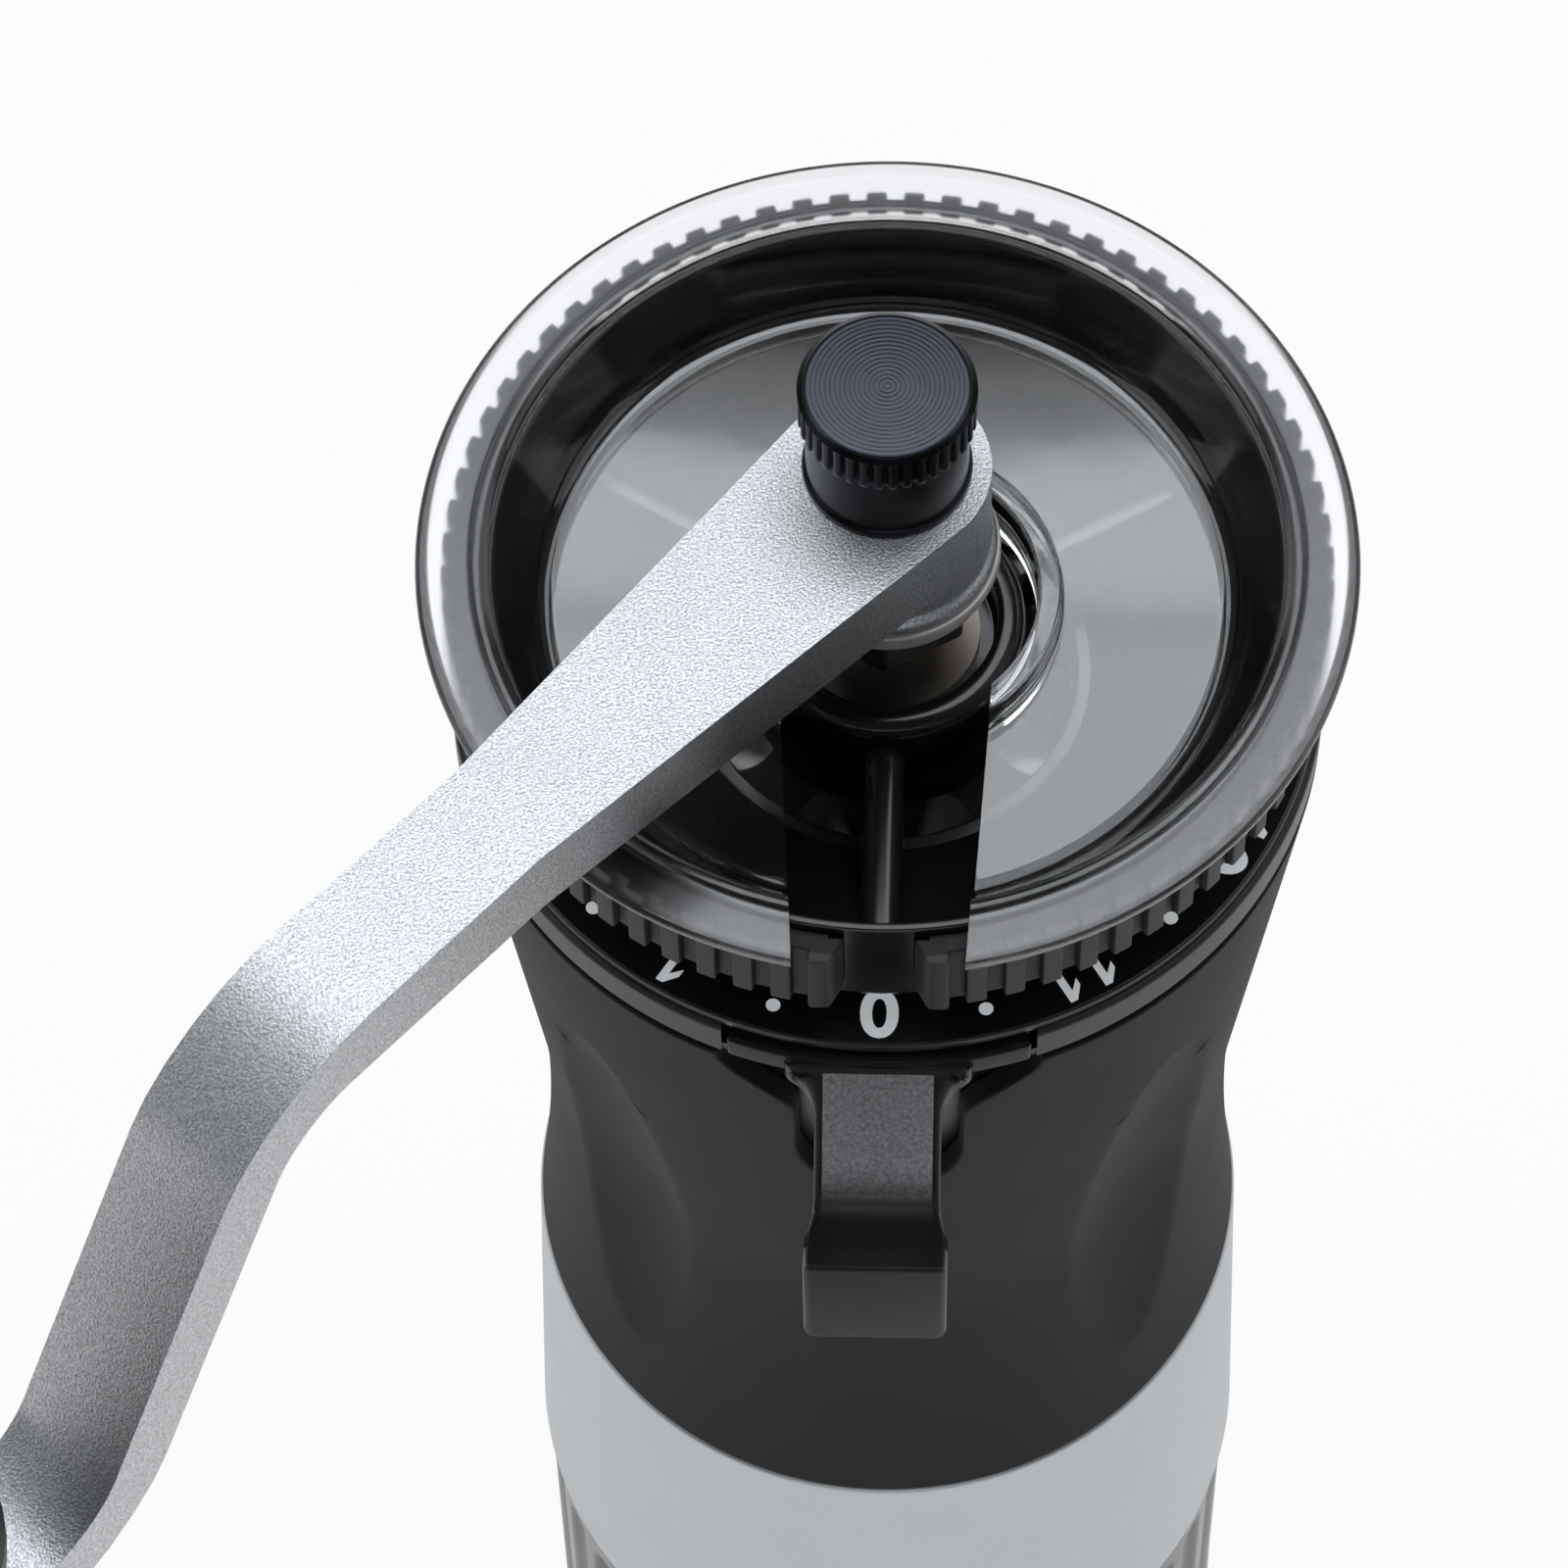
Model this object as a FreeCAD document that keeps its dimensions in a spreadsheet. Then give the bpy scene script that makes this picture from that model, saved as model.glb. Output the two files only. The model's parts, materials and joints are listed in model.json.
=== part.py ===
"""Hand crank coffee grinder: a tall grinder with a rubber grip, a numbered dial and a clear lid.

Millimetres. +Z is up, the lever is at the front (-Y), and the origin is the centre of the base.
"""
import FreeCAD, Part
import os
import re
import Sketcher
from FreeCAD import Placement, Rotation, Vector

# Driving sizes. Radii are from the grinder's axis unless the name says otherwise.
SIZES = {
    # Clearances
    "slip": 0.05,
    "fit": 0.3,
    "rest": 0.6,
    "over": 1.0,
    # Heights of the stack, from the table up
    "foot_proud": 1.2,
    "jar_height": 46.0,
    "collar_height": 48.0,
    "grip_height": 95.0,
    "shoulder_height": 1.0,
    "trim_height": 4.0,
    "dial_lip": 1.2,
    "rib_gap": 7.4,
    "rib_height": 8.4,
    "rib_drop": 1.0,
    "lid_flange": 2.0,
    # Jar and its bayonet
    "collar_wall": 3.5,
    "jar_wall": 3.5,
    "jar_floor": 3.5,
    "jar_edge": 1.0,
    "neck_height": 12.0,
    "neck_wall": 2.2,
    "flute_count": 36,
    "flute_radius": 2.4,
    "flute_depth": 0.9,
    "flute_margin": 4.0,
    "lug_width": 8.0,
    "lug_height": 3.6,
    "lug_reach": 1.4,
    "bayonet_lip": 4.4,
    "bayonet_count": 3,
    "bayonet_turn": 45.0,
    "seal_height": 1.8,
    "seal_width": 1.7,
    "foot_inset": 3.5,
    "foot_depth": 1.0,
    # Silver collar
    "collar_proud": 0.5,
    "collar_step": 0.2,
    "collar_edge": 0.6,
    # Grip and shell
    "grip_wall": 2.2,
    "flank_flare": 0.8,
    "waist_rise": 32.0,
    "flank_rise": 15.5,
    "lower_bow": 270.0,
    "upper_bow": 150.0,
    "notch_top": 12.3,
    "notch_foot": 5.5,
    "notch_depth": 20.0,
    "notch_bow": 6.5,
    "dimple_bearing": 42.0,
    "dimple_height": 36.0,
    "dimple_width": 8.0,
    "dimple_radial": 6.1,
    "dimple_stand_off": 4.6,
    "dimple_rise": 1.5,
    "dimple_tilt": 3.5,
    "shell_wall": 2.5,
    "shell_foot_wall": 4.4,
    "bridge_ledge": 1.9,
    "carrier_ledge": 1.5,
    "neck_ring_wall": 5.0,
    "neck_ring_height": 3.0,
    "shoulder_inset": 0.8,
    "key_width": 4.0,
    "key_reach": 2.4,
    "key_height": 14.0,
    "key_count": 3,
    # Dial and trim
    "trim_wall": 2.0,
    "tab_room": 0.4,
    "dial_inset": 0.5,
    "dial_dish": 0.7,
    "dial_land": 3.2,
    "dial_seat": 0.3,
    # Hopper
    "skirt_radius": 28.0,
    "skirt_wall": 2.0,
    "skirt_drop": 17.5,
    "hopper_seat": 2.5,
    "hopper_wall": 2.0,
    "hopper_lip": 0.8,
    "hopper_outside": 35.4,
    "hopper_taper": 3.6,
    "bend_drop": 11.0,
    "throat_radius": 18.0,
    "throat_drop": 7.0,
    "throat_length": 7.0,
    "hub_wall": 2.5,
    "hub_drop": 8.0,
    "hub_length": 14.0,
    "hub_round": 1.2,
    "nut_room": 2.0,
    "cup_depth": 4.0,
    "spoke_count": 3,
    "spoke_width": 3.6,
    "spoke_round": 1.4,
    # Ribbed adjusting ring
    "rib_depth": 1.7,
    "rib_width": 1.8,
    "band_wall": 0.75,
    "rib_pitch": 5.0,
    "rib_count": 70,
    "cheek_foot": 2.8,
    "cheek_nose": 4.1,
    "cheek_side": 5.9,
    "detent_reach": 2.4,
    "detent_height": 2.5,
    "detent_count": 72,
    "detent_width": 1.2,
    "detent_depth": 0.8,
    # Shaft, bushes and burrs
    "shaft_radius": 4.0,
    "bush_radius": 6.5,
    "bush_length": 8.0,
    "bush_flange": 8.0,
    "bush_flange_height": 1.0,
    "bridge_height": 8.0,
    "bridge_hub": 10.0,
    "bridge_hub_height": 10.0,
    "bridge_ring_wall": 2.4,
    "bridge_arm_width": 5.0,
    "bridge_arm_height": 6.0,
    "bridge_rise": 56.0,
    "shaft_foot": 0.5,
    "carrier_wall": 2.65,
    "carrier_rise": 14.0,
    "carrier_floor": 4.0,
    "carrier_mouth": 20.0,
    "carrier_flange_height": 6.0,
    "carrier_height": 25.5,
    "burr_height": 19.0,
    "burr_top_inside": 21.0,
    "burr_bend_inside": 18.2,
    "burr_foot_inside": 17.6,
    "burr_bend_height": 7.0,
    "burr_groove_count": 12,
    "burr_groove_radius": 1.0,
    "cone_top": 7.0,
    "cone_bend": 15.5,
    "cone_foot": 16.9,
    "cone_bend_height": 8.0,
    "cone_flute_count": 6,
    "cone_flute_radius": 2.8,
    "cone_flute_ring": 11.5,
    "burr_washer_radius": 9.0,
    "burr_washer_height": 1.5,
    "burr_nut_radius": 6.5,
    "burr_nut_height": 5.0,
    "screw_ring": 21.5,
    "screw_radius": 1.2,
    "screw_head_radius": 2.2,
    "screw_head_height": 2.0,
    "screw_length": 9.0,
    "screw_count": 3,
    # Lid
    "lid_overhang": 4.6,
    "lid_edge": 0.5,
    "lid_ridge_inset": 0.4,
    "lid_wall": 0.95,
    "lid_depth": 8.0,
    "lid_floor_inset": 1.4,
    "lid_floor": 1.8,
    "lid_hole_room": 0.9,
    "lid_collar": 2.0,
    "lid_collar_rise": 2.0,
    "lid_skirt": 2.0,
    "slot_inner_half": 9.2,
    "slot_outer_half": 7.1,
    # Crank
    "crank_bearing": 227.6,
    "crank_radius": 120.0,
    "hub_end_radius": 8.7,
    "knob_end_radius": 5.6,
    "arm_neck": 46.0,
    "arm_neck_half": 5.3,
    "boss_height": 12.2,
    "boss_rise": 1.3,
    "arm_thick": 8.0,
    "arm_flat": 76.8,
    "arm_slope": 24.5,
    "arm_drop": 43.0,
    "slope_shift": 2.8,
    "bend_outer": 20.0,
    "bend_inner": 10.0,
    "arm_round": 1.6,
    "washer_height": 1.25,
    "upper_washer_radius": 9.6,
    "lower_washer_radius": 9.2,
    "nut_height": 6.8,
    "nut_radius": 7.5,
    "thumb_height": 12.5,
    "thumb_flange": 7.1,
    "thumb_flange_height": 0.8,
    "thumb_neck": 6.8,
    "thumb_head": 7.4,
    "thumb_head_height": 4.4,
    "thumb_face": 6.3,
    "thumb_chamfer": 0.8,
    "thumb_dimple": 1.2,
    "thumb_dimple_depth": 0.5,
    "thumb_cover": 2.7,
    "knurl_count": 38,
    "knurl_radius": 0.4,
    # Knob
    "pin_radius": 3.0,
    "pin_head_radius": 5.5,
    "pin_head_height": 2.0,
    "knob_height": 28.0,
    "knob_foot": 7.0,
    "knob_belly": 12.0,
    "knob_belly_rise": 17.0,
    "knob_crown": 8.5,
    "knob_bow": 26.0,
    "crown_bow": 12.0,
    "knob_socket": 6.0,
    "knob_socket_depth": 8.0,
    "cap_height": 4.0,
    # Lever
    "lever_pin_depth": 2.6,
    "lever_pin_rise": 1.0,
    "lever_pin_radius": 0.7,
    "lever_pin_bite": 4.6,
    "bar_half": 8.0,
    "pawl_reach": 2.0,
    "bar_under": 0.2,
    "bar_top": 2.2,
    "tab_half": 13.0,
    "tab_proud": 0.4,
    "tab_top": 3.4,
    "neck_half": 5.3,
    "neck_reach": 8.6,
    "valley_drop": 8.5,
    "neck_thick": 4.4,
    "block_half": 6.0,
    "block_reach": 14.2,
    "block_thick": 2.6,
    "block_top_drop": 1.0,
    "block_foot_drop": 15.5,
    "valley_bow": 8.0,
    "lever_tuck": 1.0,
    "leaf_width": 6.0,
    "leaf_thick": 0.3,
    "leaf_tuck": 0.2,
    "leaf_grip": 2.0,
}

# Places and sizes that follow from the driving ones.
PLACES = {
    "detent_radius": "skirt_radius + detent_reach",
    "burr_bore": "detent_radius + rest",
    "bridge_bore": "burr_bore - carrier_ledge",
    "shell_bore": "bridge_bore - bridge_ledge",
    "collar_bore": "shell_bore + shell_foot_wall",
    "jar_radius": "collar_bore + collar_wall",
    "jar_inside": "jar_radius - jar_wall",
    "foot_outside": "jar_radius - foot_inset",
    "collar_radius": "jar_radius + collar_proud",
    "collar_top_radius": "grip_foot + collar_step",
    "grip_foot": "collar_bore + grip_wall",
    "grip_waist": "shell_bore + shell_wall + grip_wall",
    "grip_flank": "grip_waist + flank_flare",
    "neck_ring_radius": "burr_bore + neck_ring_wall",
    "trim_radius": "neck_ring_radius + trim_wall",
    "grip_top": "trim_radius",
    "shoulder_radius": "trim_radius - shoulder_inset",
    "dial_radius": "trim_radius - dial_inset",
    "dial_inner": "skirt_radius + dial_land",
    "carrier_flange": "burr_bore - fit - 2 * slip",
    "hopper_foot": "skirt_radius + hopper_seat",
    "hopper_mouth": "hopper_outside - hopper_lip",
    "hopper_bend": "hopper_mouth - hopper_taper",
    "cup_radius": "nut_radius + nut_room",
    "hub_radius": "cup_radius + hub_wall",
    "rib_radius": "band_radius + rib_depth",
    "lid_radius": "hopper_outside + lid_overhang",
    "lid_ridge": "hopper_mouth - lid_ridge_inset",
    "lid_floor_radius": "hopper_bend - lid_floor_inset",
    "lid_hole": "hub_radius + lid_hole_room",
    "window_half": "bar_half + over",
    "trim_window_half": "tab_half + tab_room",
    "lever_pin_ring": "neck_ring_radius - lever_pin_depth",
    "lever_pin_half": "bar_half + lever_pin_bite",
    "bar_inner": "burr_bore - pawl_reach",
    "leaf_inner": "bar_inner - leaf_tuck",
    "leaf_outer": "burr_bore + leaf_grip",
    "tab_reach": "trim_radius + tab_proud",
    "neck_valley": "tab_reach + neck_reach",
    "block_back": "tab_reach + block_reach",
    "block_front": "block_back + block_thick",
    "jar_foot": "foot_proud",
    "floor_top": "foot_proud + jar_floor",
    "neck_radius": "collar_bore - fit",
    "neck_inside": "neck_radius - neck_wall",
    "neck_top": "jar_height + neck_height",
    "lug_foot": "jar_height + bayonet_lip",
    "lug_out": "neck_radius + lug_reach",
    "bayonet_groove": "lug_out + 2 * fit",
    "groove_foot": "lug_foot - fit",
    "groove_top": "lug_foot + lug_height + fit",
    "shell_foot": "neck_top + seal_height + slip",
    "grip_foot_z": "jar_height + collar_height",
    "waist_z": "grip_foot_z + waist_rise",
    "flank_z": "waist_z + flank_rise",
    "shoulder_z": "grip_foot_z + grip_height",
    "trim_z": "shoulder_z + shoulder_height",
    "dial_foot": "trim_z + neck_ring_height",
    "dial_z": "trim_z + trim_height",
    "dial_top": "dial_z + dial_lip",
    "seat_z": "dial_top + dial_seat",
    "rib_foot": "dial_top + rib_gap",
    "rib_top": "rib_foot + rib_height",
    "hopper_top": "rib_top + rib_drop",
    "rim_z": "hopper_top + lid_flange",
    "bridge_z": "grip_foot_z + bridge_rise",
    "bend_z": "hopper_top - bend_drop",
    "spoke_foot": "seat_z + over",
    "throat_z": "bend_z - throat_drop",
    "throat_foot": "throat_z - throat_length",
    "skirt_inside": "skirt_radius - skirt_wall",
    "skirt_foot": "seat_z - skirt_drop",
    "detent_inner": "skirt_radius + slip",
    "detent_top": "trim_z - shoulder_height",
    "hub_top": "hopper_top - hub_drop",
    "hub_foot": "hub_top - hub_length",
    "cup_floor": "hub_top - cup_depth",
    "band_inside": "hopper_outside + slip",
    "band_radius": "band_inside + band_wall",
    "shaft_bore": "shaft_radius + slip",
    "bush_seat": "bush_radius + slip",
    "carrier_radius": "skirt_inside - fit",
    "carrier_inside": "carrier_radius - carrier_wall",
    "carrier_z": "bridge_z + carrier_rise",
    "burr_z": "carrier_z + carrier_floor",
    "burr_radius": "carrier_inside - slip",
    "nut_foot": "washer_foot - nut_height",
    "washer_foot": "boss_foot - 2 * washer_height",
    "boss_foot": "rim_z + boss_rise",
    "arm_top": "boss_foot + boss_height",
    "arm_under": "arm_top - arm_thick",
    "end_top": "arm_top - arm_drop",
    "end_under": "end_top - arm_thick",
    "slope_end": "arm_flat + arm_slope",
    "shaft_top": "arm_top + thumb_height - thumb_cover - rest",
    "lid_under": "rim_z - lid_depth - lid_floor",
    "lid_floor_z": "rim_z - lid_depth",
    "knob_foot_z": "end_top + fit",
    "knob_top": "knob_foot_z + knob_height",
    "socket_z": "knob_top - knob_socket_depth",
    "lever_pin_z": "trim_z + lever_pin_rise",
    "block_top": "trim_z - block_top_drop",
    "block_foot": "trim_z - block_foot_drop",
    "valley_z": "trim_z - valley_drop",
}

WORD = re.compile(r"[a-z][a-z_]*")
TINY = 1e-6

doc = FreeCAD.newDocument("hand_grinder")
sheet = doc.addObject("Spreadsheet::Sheet", "sz")
for row, (alias, number) in enumerate(SIZES.items(), start=1):
    sheet.set(f"A{row}", alias)
    sheet.set(f"B{row}", str(number))
    sheet.setAlias(f"B{row}", alias)
doc.recompute()


def formula(text):
    """Spell out a formula in size names as an expression on the sheet's cells."""
    def spell(match):
        name = match.group()
        if name in PLACES:
            return "(" + formula(PLACES[name]) + ")"
        return "sz." + name if name in SIZES else name
    return WORD.sub(spell, str(text))


def value(text):
    """The present number of a formula."""
    return float(sheet.evalExpression(formula(text)))


def tie(thing, **formulas):
    """Bind properties of a thing to formulas."""
    for name, text in formulas.items():
        thing.setExpression(name, formula(text))


def origin_part(body, role):
    return next(part for part in body.Origin.OriginFeatures if part.Role == role)


def new_body(name):
    return doc.addObject("PartDesign::Body", name)


def hold_corner(sketch, direction, index, corner, text, axis):
    """Hold one coordinate of a sketch corner at a formula, or on the axis where it is zero."""
    number = value(text)
    if abs(number) < TINY:
        sketch.addConstraint(Sketcher.Constraint("PointOnObject", index, corner, axis))
        return
    if number > 0:
        rule = Sketcher.Constraint(direction, -1, 1, index, corner, number)
    else:
        rule = Sketcher.Constraint(direction, index, corner, -1, 1, -number)
        text = f"-({text})"
    place = sketch.addConstraint(rule)
    sketch.setExpression(f"Constraints[{place}]", formula(text))


def new_sketch(body, plane, lift):
    sketch = body.newObject("Sketcher::SketchObject", body.Name + "_sketch")
    sketch.AttachmentSupport = (origin_part(body, plane), [""])
    sketch.MapMode = "FlatFace"
    sketch.setExpression("AttachmentOffset.Base.z", formula(lift))
    return sketch


def outline(body, plane, points, arcs=None, lift="0"):
    """A closed outline through points; arcs maps a side's number to its radius and bulge (left is +1)."""
    sketch = new_sketch(body, plane, lift)
    arcs = arcs or {}
    corners = [Vector(value(x), value(y), 0) for x, y in points]
    sides = []
    for number, start in enumerate(corners):
        finish = corners[(number + 1) % len(corners)]
        edge = Part.LineSegment(start, finish)
        if number in arcs:
            radius = value(arcs[number][0])
            chord = finish - start
            half = chord.Length / 2
            sagitta = radius - max(radius ** 2 - half ** 2, 0) ** 0.5
            across = Vector(-chord.y, chord.x, 0).normalize() * arcs[number][1]
            edge = Part.Arc(start, (start + finish) / 2 + across * sagitta, finish)
        index = sketch.addGeometry(edge, False)
        backward = sketch.getPoint(index, 1).distanceToPoint(start) > TINY
        sides.append((index, 2 if backward else 1, 1 if backward else 2))
        if number in arcs:
            place = sketch.addConstraint(Sketcher.Constraint("Radius", index, radius))
            sketch.setExpression(f"Constraints[{place}]", formula(arcs[number][0]))
    for number, (x, y) in enumerate(points):
        index, first, _ = sides[number]
        before, _, last = sides[number - 1]
        sketch.addConstraint(Sketcher.Constraint("Coincident", before, last, index, first))
        hold_corner(sketch, "DistanceX", index, first, x, -2)
        hold_corner(sketch, "DistanceY", index, first, y, -1)
    return sketch


def ring_outline(body, plane, centre, radius, lift="0"):
    """One circle, held by its centre and radius."""
    sketch = new_sketch(body, plane, lift)
    middle = Vector(value(centre[0]), value(centre[1]), 0)
    index = sketch.addGeometry(Part.Circle(middle, Vector(0, 0, 1), value(radius)), False)
    hold_corner(sketch, "DistanceX", index, 3, centre[0], -2)
    hold_corner(sketch, "DistanceY", index, 3, centre[1], -1)
    place = sketch.addConstraint(Sketcher.Constraint("Radius", index, value(radius)))
    sketch.setExpression(f"Constraints[{place}]", formula(radius))
    return sketch


def revolve(body, points, arcs=None):
    """Turn a half section, given as radius and height, round the grinder's axis."""
    sketch = outline(body, "XZ_Plane", points, arcs)
    feature = body.newObject("PartDesign::Revolution", body.Name + "_turned")
    feature.Profile = sketch
    feature.ReferenceAxis = (sketch, ["V_Axis"])
    feature.Angle = 360
    return feature


def turned(name, points, arcs=None):
    body = new_body(name)
    revolve(body, points, arcs)
    return body


def tube(name, inside, outside, foot, top):
    """A plain ring of rectangular section."""
    return turned(name, [(inside, foot), (outside, foot), (outside, top), (inside, top)])


def pad(body, sketch, length, both_ways=False, reverse=False):
    feature = body.newObject("PartDesign::Pad", body.Name + "_pad")
    feature.Profile = sketch
    feature.SideType = "Symmetric" if both_ways else "One side"
    feature.Reversed = reverse
    tie(feature, Length=length)
    return feature


def pocket(body, sketch, length, both_ways=False, reverse=False):
    feature = body.newObject("PartDesign::Pocket", body.Name + "_pocket")
    feature.Profile = sketch
    feature.SideType = "Symmetric" if both_ways else "One side"
    feature.Reversed = reverse
    tie(feature, Length=length)
    return feature


def polar(body, feature, count, sweep="360"):
    """Repeat a feature round the grinder's axis."""
    pattern = body.newObject("PartDesign::PolarPattern", body.Name + "_round")
    pattern.Originals = [feature]
    pattern.Axis = (origin_part(body, "Z_Axis"), [""])
    tie(pattern, Occurrences=count, Angle=sweep)
    body.Tip = pattern
    return pattern


def solid(kind, name, place, axis=(0, 0, 1), turn="0", **formulas):
    """A plain primitive with its place and turn held by formulas."""
    thing = doc.addObject("Part::" + kind, name)
    thing.Placement = Placement(Vector(), Rotation(Vector(*axis), 1))
    tie(thing, **formulas)
    for letter, text in zip("xyz", place):
        thing.setExpression("Placement.Base." + letter, formula(text))
    thing.setExpression("Placement.Rotation.Angle", formula(turn))
    return thing


def cut(name, base, *tools):
    """Take the tools away from a base, one after another."""
    for tool in tools:
        result = doc.addObject("Part::Cut", name)
        result.Base = base
        result.Tool = tool
        base = result
    return base


def fused(name, *pieces):
    result = doc.addObject("Part::MultiFuse", name)
    result.Shapes = list(pieces)
    return result


def sheet_count(name):
    return int(round(value(name)))


def upright_edges(shape, corner_list):
    """Numbers of the edges that run along Y through the given X, Z corners."""
    names = []
    for number, edge in enumerate(shape.Edges, start=1):
        ends = [vertex.Point for vertex in edge.Vertexes]
        for x, z in corner_list:
            if all(abs(end.x - x) < TINY and abs(end.z - z) < TINY for end in ends):
                names.append(f"Edge{number}")
    return names


def jar():
    """Fluted cup with a recess for the foot pad; its neck, with bayonet lugs, goes up into the collar."""
    body = new_body("jar")
    revolve(body, [
        ("0", "jar_foot + foot_depth"), ("foot_outside", "jar_foot + foot_depth"),
        ("foot_outside", "jar_foot"),
        ("jar_radius - jar_edge", "jar_foot"), ("jar_radius", "jar_foot + jar_edge"),
        ("jar_radius", "jar_height - jar_edge / 2"), ("jar_radius - jar_edge / 2", "jar_height"),
        ("neck_radius", "jar_height"), ("neck_radius", "neck_top"), ("neck_inside", "neck_top"),
        ("neck_inside", "jar_height"), ("jar_inside", "jar_height - flute_margin"),
        ("jar_inside", "floor_top"), ("0", "floor_top"),
    ])
    flute = ring_outline(body, "XY_Plane", ("jar_radius + flute_radius - flute_depth", "0"), "flute_radius",
                         "jar_foot + flute_margin")
    groove = pocket(body, flute, "jar_height - jar_foot - 2 * flute_margin", reverse=True)
    polar(body, groove, "flute_count")
    lug = outline(body, "XY_Plane", [
        ("neck_radius - neck_wall / 2", "-lug_width / 2"), ("lug_out", "-lug_width / 2"),
        ("lug_out", "lug_width / 2"), ("neck_radius - neck_wall / 2", "lug_width / 2"),
    ], lift="lug_foot")
    polar(body, pad(body, lug, "lug_height"), "bayonet_count")
    return body


def jar_seal():
    """Flat gasket between the jar's neck and the shell."""
    return tube("jar_seal", "neck_radius - seal_width", "neck_radius", "neck_top", "neck_top + seal_height")


def base_foot():
    """Rubber pad that the grinder stands on."""
    return solid("Cylinder", "base_foot", ("0", "0", "0"), Radius="foot_outside - slip",
                 Height="jar_foot + foot_depth")


def silver_collar():
    """Satin metal collar with a bayonet groove and its three entries."""
    body = new_body("silver_collar")
    revolve(body, [
        ("collar_bore", "jar_height"), ("collar_radius - collar_edge", "jar_height"),
        ("collar_radius", "jar_height + collar_edge"), ("collar_top_radius", "grip_foot_z - collar_edge"),
        ("collar_top_radius - collar_edge", "grip_foot_z"), ("collar_bore", "grip_foot_z"),
        ("collar_bore", "groove_top"), ("bayonet_groove", "groove_top"),
        ("bayonet_groove", "groove_foot"),
        ("collar_bore", "groove_foot"),
    ])
    entry = outline(body, "XY_Plane", [
        ("neck_inside", "-lug_width / 2 - fit"), ("bayonet_groove", "-lug_width / 2 - fit"),
        ("bayonet_groove", "lug_width / 2 + fit"), ("neck_inside", "lug_width / 2 + fit"),
    ], lift="jar_height")
    entry.setExpression("AttachmentOffset.Rotation.Angle", formula("bayonet_turn"))
    polar(body, pocket(body, entry, "bayonet_lip", reverse=True), "bayonet_count")
    return body


def body_shell():
    """Black inner tube: bores for the burrs and the bridge, a shoulder, and a neck under the dial."""
    body = new_body("shell_turned")
    revolve(body, [
        ("shell_bore", "shell_foot"), ("collar_bore - slip", "shell_foot"),
        ("collar_bore - slip", "grip_foot_z"), ("grip_waist - grip_wall", "waist_z"),
        ("grip_flank - grip_wall", "flank_z"), ("grip_top - grip_wall", "shoulder_z"),
        ("shoulder_radius", "shoulder_z"), ("shoulder_radius", "trim_z"), ("neck_ring_radius", "trim_z"),
        ("neck_ring_radius", "dial_foot"), ("burr_bore", "dial_foot"),
        ("burr_bore", "bridge_z + carrier_rise - rest"),
        ("bridge_bore", "bridge_z + carrier_rise - rest"),
        ("bridge_bore", "bridge_z"), ("shell_bore", "bridge_z"),
    ], {2: ("lower_bow", 1), 3: ("upper_bow", 1)})
    key = outline(body, "XY_Plane", [
        ("burr_bore - key_reach", "-key_width / 2"), ("burr_bore + slip", "-key_width / 2"),
        ("burr_bore + slip", "key_width / 2"), ("burr_bore - key_reach", "key_width / 2"),
    ], lift="bridge_z + carrier_rise - rest")
    polar(body, pad(body, key, "key_height"), "key_count")
    window = solid("Box", "lever_window", ("-window_half", "-shoulder_radius", "trim_z - 2 * rest"),
                   Length="2 * window_half", Width="shoulder_radius - bar_inner",
                   Height="neck_ring_height + 2 * rest + over")
    pin_hole = solid("Cylinder", "lever_pin_hole", ("-lever_pin_half", "-lever_pin_ring", "lever_pin_z"),
                     axis=(0, 1, 0), turn="90", Radius="lever_pin_radius", Height="2 * lever_pin_half")
    return cut("body_shell", body, window, pin_hole)


def grip_sleeve():
    """Rubber sleeve with a notch for the lever and shallow finger hollows."""
    body = new_body("grip_sleeve")
    inner = "(grip_wall - slip)"
    revolve(body, [
        (f"grip_foot - {inner}", "grip_foot_z"), ("grip_foot", "grip_foot_z"), ("grip_waist", "waist_z"),
        ("grip_flank", "flank_z"), ("grip_top", "shoulder_z"), (f"grip_top - {inner}", "shoulder_z"),
        (f"grip_flank - {inner}", "flank_z"), (f"grip_waist - {inner}", "waist_z"),
    ], {1: ("lower_bow", 1), 2: ("upper_bow", 1), 6: ("upper_bow", -1), 7: ("lower_bow", -1)})
    notch = outline(body, "XZ_Plane", [
        ("-notch_foot", "shoulder_z - notch_depth"), ("notch_foot", "shoulder_z - notch_depth"),
        ("notch_top", "shoulder_z"), ("notch_top", "shoulder_z + over"), ("-notch_top", "shoulder_z + over"),
        ("-notch_top", "shoulder_z"),
    ], {0: ("notch_bow", -1)})
    pocket(body, notch, "grip_top + over", reverse=True)
    for bearing in ("-90 + dimple_bearing", "-90 - dimple_bearing"):
        hollow = body.newObject("PartDesign::SubtractiveEllipsoid", "finger_hollow")
        hollow.AttachmentSupport = (origin_part(body, "XY_Plane"), [""])
        hollow.MapMode = "FlatFace"
        lean = Rotation(Vector(0, 1, 0), value("dimple_tilt"))
        hollow.AttachmentOffset = Placement(Vector(), Rotation(Vector(0, 0, 1), value(bearing)) * lean)
        tie(hollow, Radius1="dimple_height", Radius2="dimple_radial", Radius3="dimple_width")
        ring = "(grip_flank + dimple_stand_off)"
        hollow.setExpression("AttachmentOffset.Base.x", formula(f"{ring} * cos({bearing})"))
        hollow.setExpression("AttachmentOffset.Base.y", formula(f"{ring} * sin({bearing})"))
        hollow.setExpression("AttachmentOffset.Base.z", formula("flank_z + dimple_rise"))
        polar(body, hollow, "2")
    return body


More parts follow.
